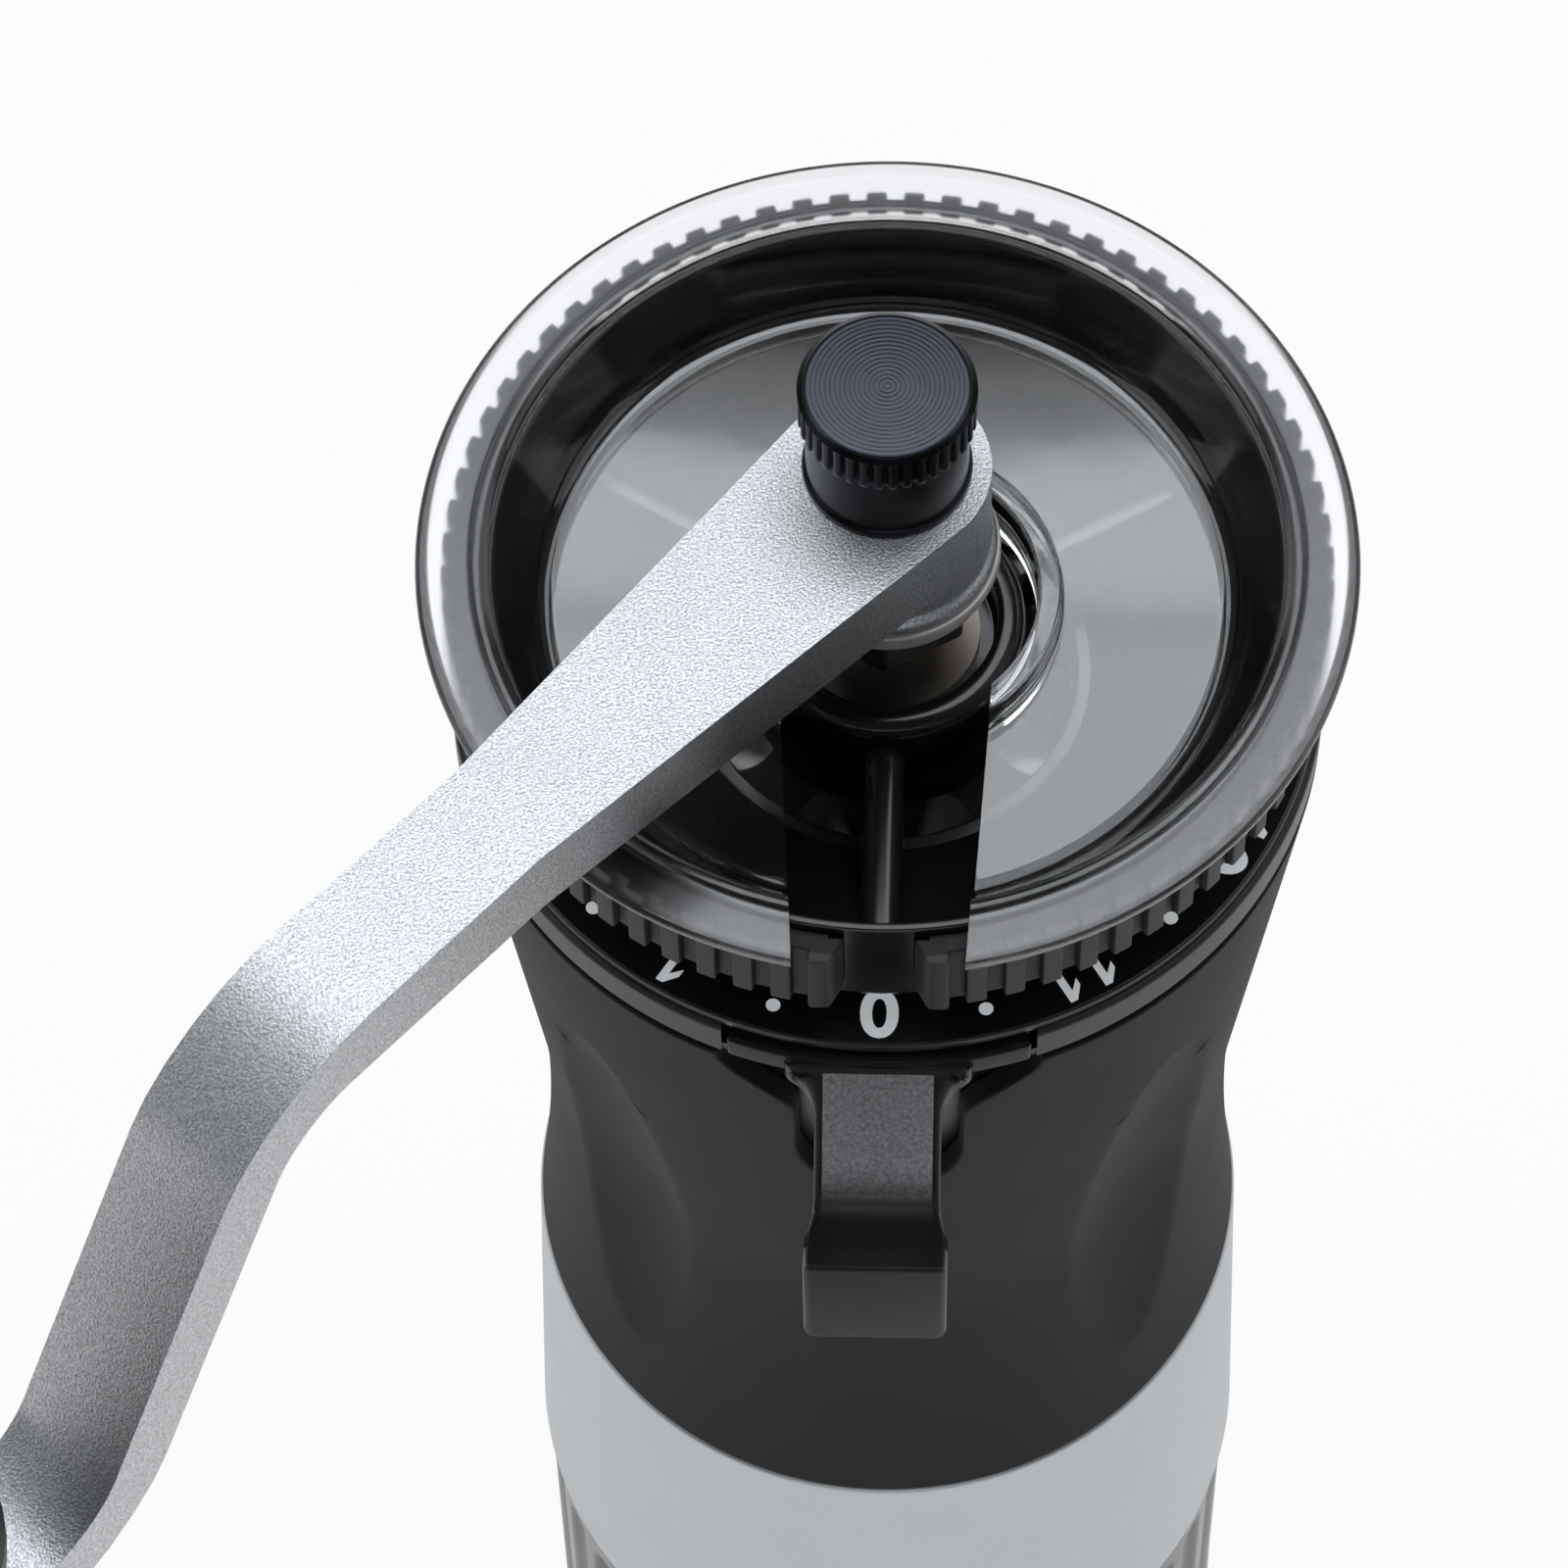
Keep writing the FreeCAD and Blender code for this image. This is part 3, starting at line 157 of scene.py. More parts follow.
class CrankSizes(bpy.types.PropertyGroup):
    """Crank arm, thumb nut and knob."""
    bearing: angle("Bearing", "Bearing of the crank at rest", 227.6)
    radius: length("Radius", "From the shaft to the knob", 120)
    hub_end: length("Hub end", "Radius of the arm's end at the shaft", 8.7)
    knob_end: length("Knob end", "Radius of the arm's end at the knob", 5.6)
    neck: length("Neck", "From the shaft to where the arm stops tapering", 46)
    neck_half: length("Neck half width", "Half of the arm's width there", 5.3)
    boss_flange: length("Boss flange", "Radius of the boss's lower edge", 9.3)
    thick: length("Thickness", "Thickness of the arm", 8)
    flat: length("Flat", "From the shaft to the first bend", 76.8)
    slope: length("Slope", "Run of the sloping part", 24.5)
    slope_shift: length("Slope shift", "How far the underside's bends lie behind the top's", 2.8)
    outer_bend: length("Outer bend", "Setback of the outer bends", 11.6)
    inner_bend: length("Inner bend", "Setback of the inner bends", 5.8)
    edge: length("Edge", "Rounding of the arm's edges", 1.7)
    knurls: count("Knurls", "Grooves round the thumb nut", 38)
    knurl_depth: length("Knurl depth", "Depth of a groove in the thumb nut", 0.45)


class LeverSizes(bpy.types.PropertyGroup):
    """Finger lever at the front."""
    neck_half: length("Neck half width", "Half width of the neck", 5.4)
    block_half: length("Block half width", "Half width of the upturned block", 6.1)
    panel_half: length("Panel half width", "Half width of the grained panel", 4.7)
    panel_end: length("Panel end", "Distance from the axis to the panel's lower end", 46.6)
    valley: length("Valley", "Distance from the axis to the lowest part of the neck", 47)
    valley_drop: length("Valley drop", "Drop from the tab's top to the valley", 11.9)
    thick: length("Thickness", "Thickness of the neck", 4.4)
    flare: length("Flare", "Radius of the fillet between the tab and the neck", 2.6)
    edge: length("Edge", "Rounding of the neck's and the block's edges", 0.9)


class FinishColours(bpy.types.PropertyGroup):
    """Colours of the finishes."""
    rubber: colour("Rubber", "Grip sleeve", 46, 43, 45)
    gloss_black: colour("Gloss black", "Hopper and hub", 20, 20, 22)
    dial_black: colour("Dial black", "Numbered dial", 20, 20, 22)
    rib_black: colour("Rib black", "Adjusting ring", 60, 58, 60)
    # Painted sheen: the lever's grained panel is coloured light grey for the light it catches; the grain
    # itself is the plastic's own.
    panel_grey: colour("Panel grey", "Grained panel on the lever", 198, 198, 200)
    lever_black: colour("Lever black", "Lever", 30, 29, 31)
    # The print's colour is also the colour of its painted glow.
    print_grey: colour("Print", "Figures and dots", 226, 231, 234)
    trim_grey: colour("Trim grey", "Ring below the dial", 56, 56, 59)
    collar_silver: colour("Collar silver", "Collar below the grip", 188, 193, 196)
    aluminium: colour("Aluminium", "Crank arm", 196, 198, 201)
    steel: colour("Steel", "Washers and pins", 196, 194, 188)
    dark_steel: colour("Dark steel", "Nut under the crank", 128, 121, 113)
    anodised: colour("Anodised black", "Thumb nut", 60, 62, 68)
    jar_black: colour("Jar", "Jar below the collar", 38, 38, 40)
    brass: colour("Brass", "Bushes", 196, 160, 96)


class StageSizes(bpy.types.PropertyGroup):
    """Camera and floor."""
    elevation: angle("Elevation", "Camera's height above the horizon", 59)
    azimuth: angle("Azimuth", "Camera's bearing from the front, towards +X", 1.1)
    distance: length("Distance", "From the camera to the middle of the lid's rim", 600)
    floor: length("Floor", "Half width of the floor", 6000)


def low(node, axis=2):
    """A packed node's lowest coordinate on one axis."""
    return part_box(node)[0][axis]


def high(node, axis=2):
    """A packed node's highest coordinate on one axis."""
    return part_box(node)[1][axis]


def span(node):
    """A round node's foot, top and outer radius."""
    return low(node), high(node), high(node, 0)


# Shaping helpers

def flat_face(shape, corners, spot):
    """One flat face; a corner is (across, up, setback), and a setback over 0 rounds it."""
    made = [shape.verts.new(spot(across, up)) for across, up, _ in corners]
    shape.faces.new(made)
    for vert, (_, _, setback) in zip(made, corners):
        if setback > 0:
            bmesh.ops.bevel(shape, geom=[vert], offset=setback, offset_type="OFFSET", segments=ARC_STEPS,
                            profile=0.5, affect="VERTICES", material=-1)


def whole(shape):
    """All of a shape's vertices, edges and faces."""
    return shape.verts[:] + shape.edges[:] + shape.faces[:]


def spin(shape, sweep, steps, merge=False):
    """Sweep a shape about the grinder's axis."""
    bmesh.ops.spin(shape, geom=whole(shape), cent=(0, 0, 0), axis=(0, 0, 1), angle=sweep, steps=steps,
                   use_merge=merge)


def lathe(corners, steps=ROUND_STEPS, centre=(0, 0, 0)):
    """A solid turned about an upright axis from a closed outline of (radius, height, setback) corners."""
    shape = bmesh.new()
    flat_face(shape, corners, lambda radius, height: (radius, 0, height))
    bmesh.ops.delete(shape, geom=shape.faces[:], context="FACES_ONLY")
    spin(shape, TURN, steps, True)
    clean(shape)
    bmesh.ops.translate(shape, verts=shape.verts[:], vec=centre)
    return shape


def plain_ring(bore, out, foot, top, foot_edge, top_edge, steps=ROUND_STEPS):
    """A ring with a square section and rounded outer edges."""
    return lathe([(bore, foot, 0), (out, foot, foot_edge), (out, top, top_edge), (bore, top, 0)], steps)


def off_middle(vert, sectors):
    """How far a vertex lies from the middle of its sector of the full turn, in sectors."""
    return (math.atan2(vert.co.y, vert.co.x) / (TURN / sectors)) % 1 - 0.5


def clean(shape):
    """Merge doubles, drop slivers and turn the faces outwards."""
    bmesh.ops.remove_doubles(shape, verts=shape.verts[:], dist=WELD)
    bmesh.ops.dissolve_degenerate(shape, edges=shape.edges[:], dist=TINY)
    bmesh.ops.recalc_face_normals(shape, faces=shape.faces[:])


def mesh_of(shape, name):
    """A mesh that takes over a shape's geometry."""
    mesh = bpy.data.meshes.new(name)
    shape.to_mesh(mesh)
    shape.free()
    return mesh


def add_object(name, data):
    """A new object in the scene."""
    made = bpy.data.objects.new(name, data)
    bpy.context.scene.collection.objects.link(made)
    return made


def absorb(shape, other):
    """Move another shape's geometry into this one."""
    spare = mesh_of(other, "spare")
    shape.from_mesh(spare)
    bpy.data.meshes.remove(spare)


def prism(corners, spot, push):
    """A flat face pushed along a vector into a solid."""
    shape = bmesh.new()
    flat_face(shape, corners, spot)
    made = bmesh.ops.extrude_face_region(shape, geom=shape.faces[:], use_keep_orig=True)
    moved = [item for item in made["geom"] if isinstance(item, bmesh.types.BMVert)]
    bmesh.ops.translate(shape, verts=moved, vec=push)
    clean(shape)
    return shape


def slice_at(shape, spots, normal):
    """Add a loop of edges where a plane through each spot crosses the shape."""
    for spot in spots:
        bmesh.ops.bisect_plane(shape, geom=whole(shape), dist=TINY, plane_co=spot, plane_no=normal)


def open_slot(shape, inner, outer):
    """Cut a slot through the front; inner and outer are (half width, distance forward) of its side."""
    run = outer[1] - inner[1]
    spread = outer[0] - inner[0]

    def half_at(y):
        return inner[0] + spread * (-y - inner[1]) / run

    for side in (1, -1):
        faces = [face for face in shape.faces if face.calc_center_median().y < 0]
        edges = {edge for face in faces for edge in face.edges}
        verts = {vert for face in faces for vert in face.verts}
        bmesh.ops.bisect_plane(shape, geom=faces + list(edges) + list(verts), dist=TINY,
                               plane_co=(side * inner[0], -inner[1], 0), plane_no=(run, side * spread, 0))
    gone = []
    for face in shape.faces:
        middle = face.calc_center_median()
        if middle.y < 0 and abs(middle.x) < half_at(middle.y):
            gone.append(face)
    bmesh.ops.delete(shape, geom=gone, context="FACES")
    bmesh.ops.edgeloop_fill(shape, edges=[edge for edge in shape.edges if edge.is_boundary])
    bmesh.ops.recalc_face_normals(shape, faces=shape.faces[:])


def round_edges(shape, offset, segments):
    """Round all of a shape's edges."""
    bmesh.ops.bevel(shape, geom=shape.edges[:], offset=offset, offset_type="OFFSET", segments=segments,
                    profile=0.5, affect="EDGES", material=-1)
    bmesh.ops.recalc_face_normals(shape, faces=shape.faces[:])


def around(shape, bearing):
    """Turn a shape about the grinder's axis."""
    bmesh.ops.rotate(shape, verts=shape.verts[:], cent=(0, 0, 0), matrix=Matrix.Rotation(bearing, 3, "Z"))
    return shape


def make_piece(shape, name, body, nodes, slot, crisp=35):
    """Turn a shape into an object that rides on a body and stands for the nodes."""
    for face in shape.faces:
        face.smooth = True
    mesh = mesh_of(shape, name)
    if crisp:
        mesh.set_sharp_from_angle(angle=math.radians(crisp))
    mesh.materials.append(finish_of(slot))
    piece = add_object(name, mesh)
    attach(piece, body)
    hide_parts(*nodes)
    if crisp:
        keep_flat(piece)
    return piece


def keep_flat(piece):
    """Let the large faces set the shading, so that flat ones look flat up to their edges."""
    even = piece.modifiers.new("even shading", "WEIGHTED_NORMAL")
    even.weight = 50
    even.keep_sharp = True


def soften(piece, width, segments=3, limit=40, moulded=False):
    """Round a piece's sharp edges; a moulded piece is shaded smoothly all over."""
    bevel = piece.modifiers.new("soft edges", "BEVEL")
    bevel.width = width
    bevel.segments = segments
    bevel.limit_method = "ANGLE"
    bevel.angle_limit = math.radians(limit)
    bevel.use_clamp_overlap = not moulded
    if not moulded:
        keep_flat(piece)


def ease(low_end, high_end, value):
    """0 below the low end, 1 above the high end, and a smooth rise between them."""
    share = min(max((value - low_end) / (high_end - low_end), 0), 1)
    return share * share * (3 - 2 * share)


# Finishes

class Value:
    """A shader's value or colour; arithmetic on it adds Math nodes."""

    def __init__(self, finish, socket):
        self.finish = finish
        self.socket = socket

    def math(self, operation, *values):
        return self.finish.node("ShaderNodeMath", {"operation": operation}, dict(enumerate(values)))

    def __add__(self, other):
        return self.math("ADD", self, other)

    def __sub__(self, other):
        return self.math("SUBTRACT", self, other)

    def __rsub__(self, other):
        return self.math("SUBTRACT", other, self)

    def __mul__(self, other):
        return self.math("MULTIPLY", self, other)

    def __gt__(self, other):
        return self.math("GREATER_THAN", self, other)

    def __lt__(self, other):
        return self.math("LESS_THAN", self, other)

    __radd__ = __add__
    __rmul__ = __mul__

    def root(self):
        return self.math("SQRT", self)

    def sine(self):
        return self.math("SINE", self)

    def clamp(self):
        """The value kept between 0 and 1."""
        capped = self.math("MINIMUM", self, 1.0)
        return self.math("MAXIMUM", capped, 0.0)

    def size(self):
        return self.math("ABSOLUTE", self)


class Finish:
    """A material and the nodes that make it."""

    def __init__(self, name):
        self.material = bpy.data.materials.new(FINISH_PREFIX + name)
        self.material.use_nodes = True
        self.tree = self.material.node_tree
        self.shader = self.tree.nodes["Principled BSDF"]

    def node(self, kind, settings, inputs, output=0):
        """Add a node: its settings are set first, then its sockets get values or links."""
        made = self.tree.nodes.new(kind)
        for name, setting in settings.items():
            if name == "stops":
                for element, (place, shade) in zip(made.color_ramp.elements, setting):
                    element.position = place
                    element.color = (shade, shade, shade, 1)
            else:
                setattr(made, name, setting)
        self.join(made, inputs)
        return Value(self, made.outputs[output])

    def join(self, node, inputs):
        for name, given in inputs.items():
            if isinstance(given, Value):
                self.tree.links.new(given.socket, node.inputs[name])
            else:
                node.inputs[name].default_value = given

    def surface(self, inputs):
        """Set or link the sockets of the material's own shader."""
        self.join(self.shader, inputs)
        return self.material

    def place(self):
        return self.node("ShaderNodeTexCoord", {}, {}, "Object")

    def axes(self):
        """Object coordinates as three values."""
        place = self.place()
        return [self.node("ShaderNodeSeparateXYZ", {}, {0: place}, number) for number in range(3)]

    def radius(self):
        """Distance from the grinder's axis."""
        x, y, _ = self.axes()
        return (x * x + y * y).root()

    def noise(self, grain, detail=2.0, roughness=0.5):
        """Cloudy noise from 0 to 1 whose lumps are about one grain wide."""
        inputs = {"Vector": self.place(), "Scale": 1 / grain, "Detail": detail, "Roughness": roughness}
        return self.node("ShaderNodeTexNoise", {}, inputs)

    def ramp(self, value, *stops):
        """Map a value through two grey stops."""
        return self.node("ShaderNodeValToRGB", {"stops": stops}, {"Fac": value})

    def blend(self, share, first, second):
        """Mix two colours."""
        settings = {"data_type": "RGBA"}
        return self.node("ShaderNodeMix", settings, {0: share, 6: rgba(first), 7: rgba(second)}, 2)

    def clouded(self, cloud, shade, spread):
        """A colour that wanders by a share of itself to both sides."""
        return self.blend(cloud, darker(shade, 1 - spread), darker(shade, 1 + spread))

    def bump(self, height, depth, strength=1.0):
        inputs = {"Height": height, "Distance": depth, "Strength": strength}
        return self.node("ShaderNodeBump", {}, inputs)


def rgba(shade):
    return shade if isinstance(shade, Value) else (*shade, 1)


def darker(shade, factor):
    return tuple(part * factor for part in shade)


def plastic(name, shade, gloss, grain, depth, shine=0.5):
    """Moulded plastic with a fine spark grain and faint clouding."""
    finish = Finish(name)
    spark = finish.noise(grain * MM)
    cloud = finish.noise(14 * MM, 3)
    return finish.surface({
        "Base Color": finish.clouded(cloud, shade, 0.15),
        "Roughness": gloss + (cloud - 0.5) * 0.12,
        "Specular IOR Level": shine,
        "Normal": finish.bump(spark, depth * MM),
    })


def ribbed_plastic(name, shade, groove):
    """Matt plastic with painted shade in its grooves: nearer the axis than a radius, the colour is darker
    than the ribs' outer faces.
    """
    finish = Finish(name)
    # Painted shade: the grooves between the ribs, inside the given radius, get a much darker copy of the
    # colour.
    deep = finish.radius() < groove
    spark = finish.noise(0.22 * MM)
    return finish.surface({
        "Base Color": finish.blend(deep, shade, darker(shade, 0.3)),
        "Roughness": 0.5 + spark * 0.06,
        "Specular IOR Level": 0.2,
        "Normal": finish.bump(spark, 0.022 * MM),
    })


def rubber(name, shade):
    """Matt rubber with a powdery skin."""
    finish = Finish(name)
    skin = finish.noise(0.16 * MM, 3)
    patch = finish.noise(9 * MM, 4)
    return finish.surface({
        "Base Color": finish.clouded(patch, shade, 0.14),
        "Roughness": 0.58 + patch * 0.1,
        "Specular IOR Level": 0.12,
        "Normal": finish.bump(skin, 0.014 * MM),
    })


def blasted(name, shade, grain=0.24, depth=0.07, gloss=0.34, contrast=0.4):
    """Bead blasted metal: a coarse sparkling grain."""
    finish = Finish(name)
    pits = finish.noise(grain * MM, 3, 0.6)
    patch = finish.noise(12 * MM)
    return finish.surface({
        "Base Color": finish.blend(finish.ramp(pits, (0.35, 0), (0.65, 1)), darker(shade, 1 - contrast),
                                   darker(shade, 1 + contrast / 2)),
        "Metallic": 1.0,
        "Roughness": gloss + patch * 0.08,
        "Normal": finish.bump(pits, depth * MM),
    })


def turned_metal(name, shade, gloss, face_z=None, metal=1.0):
    """Machined metal with turning marks, and rings on the flat top face; with a top face given, the top is
    painted lighter as a painted sheen and the side below it gets painted shade.
    """
    finish = Finish(name)
    _, _, z = finish.axes()
    ring_pitch, groove_pitch = 0.4 * MM, 0.2 * MM
    smear = finish.noise(2.5 * MM, 3)
    if face_z:
        face = z > face_z
        rings = (finish.radius() * (TURN / ring_pitch)).sine() * finish.noise(0.9 * MM)
        height = rings * face
        # Painted light: the top face is lighter, with its turning rings, as a painted sheen, while the side
        # below takes the darkest colour as painted shade.
        tone_and_painted_top_light = face * (rings * 0.5 + 0.75)
    else:
        height = (z * (TURN / groove_pitch)).sine() * 0.5
        tone_and_painted_top_light = smear * 0.6 + 0.4
    return finish.surface({
        "Base Color": finish.blend(tone_and_painted_top_light, darker(shade, 0.35), darker(shade, 1.15)),
        "Metallic": metal,
        "Roughness": gloss + smear * 0.12,
        "Normal": finish.bump(height, 0.008 * MM),
    })


def clear_plastic(name, flange):
    """Clear moulded plastic with faint smears; its flange is a little greyer and hazier."""
    finish = Finish(name)
    out = finish.radius() > flange
    smear = finish.noise(6 * MM, 4, 0.65)
    return finish.surface({
        "Base Color": finish.blend(out, (0.97, 0.98, 0.985), (0.87, 0.88, 0.9)),
        "Roughness": 0.03 + smear * 0.03 + out * 0.16,
        "IOR": 1.585,
        "Transmission Weight": 1.0,
        "Normal": finish.bump(finish.noise(3.5 * MM), 0.006 * MM, 0.4),
    })


def printed(name, shade):
    """Pad printed paint, a little uneven, that also glows faintly in its own colour as painted light."""
    finish = Finish(name)
    worn = finish.noise(0.45 * MM, 3)
    return finish.surface({
        "Base Color": finish.blend(worn, darker(shade, 0.8), darker(shade, 1.1)),
        "Roughness": 0.5 + worn * 0.15,
        # Painted light: the print glows in its own colour, though it is no lamp, so that it looks brighter
        # than its lighting makes it.
        "Emission Color": rgba(shade),
        "Emission Strength": 0.4,
        "Normal": finish.bump(worn, 0.02 * MM),
    })


def lever_plastic(name, shade, panel_sheen_shade, panel_half, panel_end, neck_start):
    """Satin black plastic, with a sparkling grain on the neck's panel, whose light grey colour there is a
    painted sheen speckled by the grain.
    """
    finish = Finish(name)
    x, y, _ = finish.axes()
    fade_run = 2.5 * MM
    front_skin = 0.5 * MM
    fade = ((y + panel_end) * (1 / fade_run)).clamp()
    panel = (x.size() < panel_half) * (y < -neck_start) * fade
    grain = finish.noise(0.32 * MM, 3, 0.65)
    fine = finish.noise(0.12 * MM)
    cloud = finish.noise(8 * MM)
    front = y < low("release_lever", 1) + front_skin
    return finish.surface({
        # Painted sheen: the grained panel gets the light panel colour, speckled by the grain, for the light
        # it catches from the front.
        "Base Color": finish.blend(panel * grain, shade, panel_sheen_shade),
        "Specular IOR Level": 0.12,
        "Roughness": 0.3 + panel * 0.16 + front * 0.14 + cloud * 0.06,
        "Normal": finish.bump(panel * grain + (1 - panel) * fine * 0.08, 0.06 * MM),
    })


def dial_plastic(name, shade):
    """Satin black dial with a grained field round the first figure."""
    finish = Finish(name)
    x, y, _ = finish.axes()
    field_half = 5.4 * MM
    field = (x.size() < field_half) * (y < 0)
    grain = finish.noise(0.3 * MM, 3)
    cloud = finish.noise(6 * MM)
    return finish.surface({
        "Base Color": finish.clouded(cloud, shade, 0.2),
        "Roughness": 0.3 + field * 0.16 + cloud * 0.08,
        "Normal": finish.bump(grain * (0.12 + field * 0.88), 0.03 * MM),
    })


def finish_of(slot):
    """The material that dresses a slot."""
    return bpy.data.materials[FINISH_PREFIX + slot]


def make_finishes():
    """Make a material for every slot of the record and for the dial's print."""
    shades = bpy.context.scene.grinder_colours
    lever = bpy.context.scene.grinder_lever
    nut_face = high("thumb_nut") - 0.2 * MM
    # Radius inside which the adjusting ring's grooves get painted shade.
    groove_shade_radius = high("adjusting_ring", 0) - 0.55 * MM
    neck_start = high("trim_ring", 0) + 0.8 * MM
    rubber("grip_rubber", shades.rubber)
    rubber("seal_rubber", darker(shades.rubber, 0.7))
    plastic("shell_black", shades.gloss_black, gloss=0.4, grain=0.3, depth=0.02)
    plastic("hopper_black", shades.gloss_black, gloss=0.2, grain=0.5, depth=0.004)
    dial_plastic("dial_black", shades.dial_black)
    ribbed_plastic("ring_black", shades.rib_black, groove_shade_radius)
    plastic("knob_black", shades.jar_black, gloss=0.42, grain=0.3, depth=0.02)
    plastic("jar_dark", shades.jar_black, gloss=0.26, grain=0.6, depth=0.006)
    lever_plastic("lever_black", shades.lever_black, shades.panel_grey, lever.panel_half, lever.panel_end,
                  neck_start)
    clear_plastic("lid_clear", bpy.context.scene.grinder_lid.ridge)
    printed("figure_print_glow", shades.print_grey)
    plastic("trim_grey", shades.trim_grey, gloss=0.4, grain=0.2, depth=0.01, shine=0.25)
    blasted("collar_silver", shades.collar_silver, grain=0.16, depth=0.012, gloss=0.42, contrast=0.06)
    blasted("crank_aluminium", shades.aluminium)
    blasted("carrier_metal", shades.collar_silver, grain=0.25, depth=0.02)
    turned_metal("washer_steel", shades.steel, gloss=0.36, metal=0.25)
    turned_metal("pin_steel", shades.steel, gloss=0.22)
    turned_metal("burr_steel", darker(shades.steel, 0.8), gloss=0.3)
    turned_metal("nut_dark", shades.dark_steel, gloss=0.3)
    turned_metal("bush_brass", shades.brass, gloss=0.28)
    turned_metal("thumb_black", shades.anodised, gloss=0.26, face_z=nut_face)


class GRINDER_OT_frame(bpy.types.Operator):
    """Give every packed node the finish of its slot"""
    bl_idname = "grinder.dress_frame"
    bl_label = "Dress the packed frame"

    def execute(self, context):
        make_finishes()
        for subpart in frame["record"]["subparts"]:
            slots = frame["nodes"][subpart["node"]].data.materials
            slots.clear()
            slots.append(finish_of(subpart["material_slot"]))
        return {"FINISHED"}


class GRINDER_OT_jar(bpy.types.Operator):
    """Fluted jar with its neck"""
    bl_idname = "grinder.make_jar"
    bl_label = "Jar"

    def execute(self, context):
        foot, top = low("jar"), low("silver_collar")
        out = 35.5 * MM
        wall = 3.5 * MM
        neck_step = 4.3 * MM
        neck = -low("silver_collar", 0) - neck_step
        neck_wall = 2.2 * MM
        shoulder, shoulder_foot = top - 2 * MM, top - 4.5 * MM
        chamfer = 1 * MM
        skin = 0.05 * MM
        flutes = 36
        flute_half = 0.31
        margin = 4 * MM
        fade = 2.5 * MM
        depth = 0.9 * MM
        edge = 0.4 * MM
        columns = flutes * 12
        rows = [foot + margin + fade * step / 3 for step in range(4)]
        rows += [top - margin - fade * (3 - step) / 3 for step in range(4)]
        corners = [(0, foot, 0), (out - chamfer, foot, 0), (out, foot + chamfer, edge)]
        corners += [(out, row, 0) for row in rows]
        corners += [
            (out, top - edge, 0), (out - edge, top, 0), (neck, top, 0), (neck, high("jar"), edge),
            (neck - neck_wall, high("jar"), edge), (neck - neck_wall, shoulder, 0),
            (out - wall, shoulder_foot, 0), (out - wall, foot + wall, 2 * MM), (0, foot + wall, 0),
        ]
        shape = lathe(corners, columns)
        for vert in shape.verts:
            radius = vert.co.xy.length
            if radius < out - skin:
                continue
            scoop = max(0, 1 - (off_middle(vert, flutes) / flute_half) ** 2)
            ends = ease(rows[0], rows[3], vert.co.z) * (1 - ease(rows[4], rows[7], vert.co.z))
            vert.co.xy *= (radius - depth * scoop * ends) / radius
        make_piece(shape, "fluted_jar", "jar", ["jar"], "jar_dark")
        return {"FINISHED"}


class GRINDER_OT_collar(bpy.types.Operator):
    """Satin collar between the jar and the grip"""
    bl_idname = "grinder.make_collar"
    bl_label = "Collar"

    def execute(self, context):
        foot, top, out = span("silver_collar")
        top_out = 34.4 * MM
        bore = 32.0 * MM
        edge = 0.7 * MM
        shape = lathe([
            (bore, foot, 0), (out, foot, edge), (top_out, top, edge), (bore, top, 0),
        ])
        make_piece(shape, "satin_collar", "body", ["silver_collar"], "collar_silver")
        return {"FINISHED"}


def grip_radius(sizes, foot, top, top_radius, height):
    """Radius of the sleeve's outside at a height."""
    above = height - foot - sizes.waist_rise
    if above < 0:
        return sizes.waist + above * above / (2 * sizes.lower_bow)
    if above < sizes.flank_rise:
        return sizes.waist + above * above / (2 * sizes.upper_bow)
    flank = sizes.waist + sizes.flank_rise ** 2 / (2 * sizes.upper_bow)
    straight = top - foot - sizes.waist_rise - sizes.flank_rise
    return flank + (top_radius - flank) * (above - sizes.flank_rise) / straight


def notch_half(sizes, drop):
    """Half width of the lever's notch at a drop below the sleeve's top."""
    if drop >= sizes.notch_depth:
        return 0
    bowl_share = 0.34
    left = 1 - drop / sizes.notch_depth
    bowl = math.sqrt(1 - (1 - min(left / bowl_share, 1)) ** 2)
    return sizes.notch_half * bowl + sizes.notch_flare * (1 - ease(0, sizes.notch_flare_depth, drop))


def hollow_depth(sizes, bearing, rise, radius):
    """Depth of the finger hollow at a bearing from the front or the back."""
    along = (rise - sizes.hollow_rise) / sizes.hollow_half
    across = (bearing - sizes.hollow_bearing) * radius / sizes.hollow_width
    return sizes.hollow_depth * max(1 - along ** 2 - across ** 2, 0)


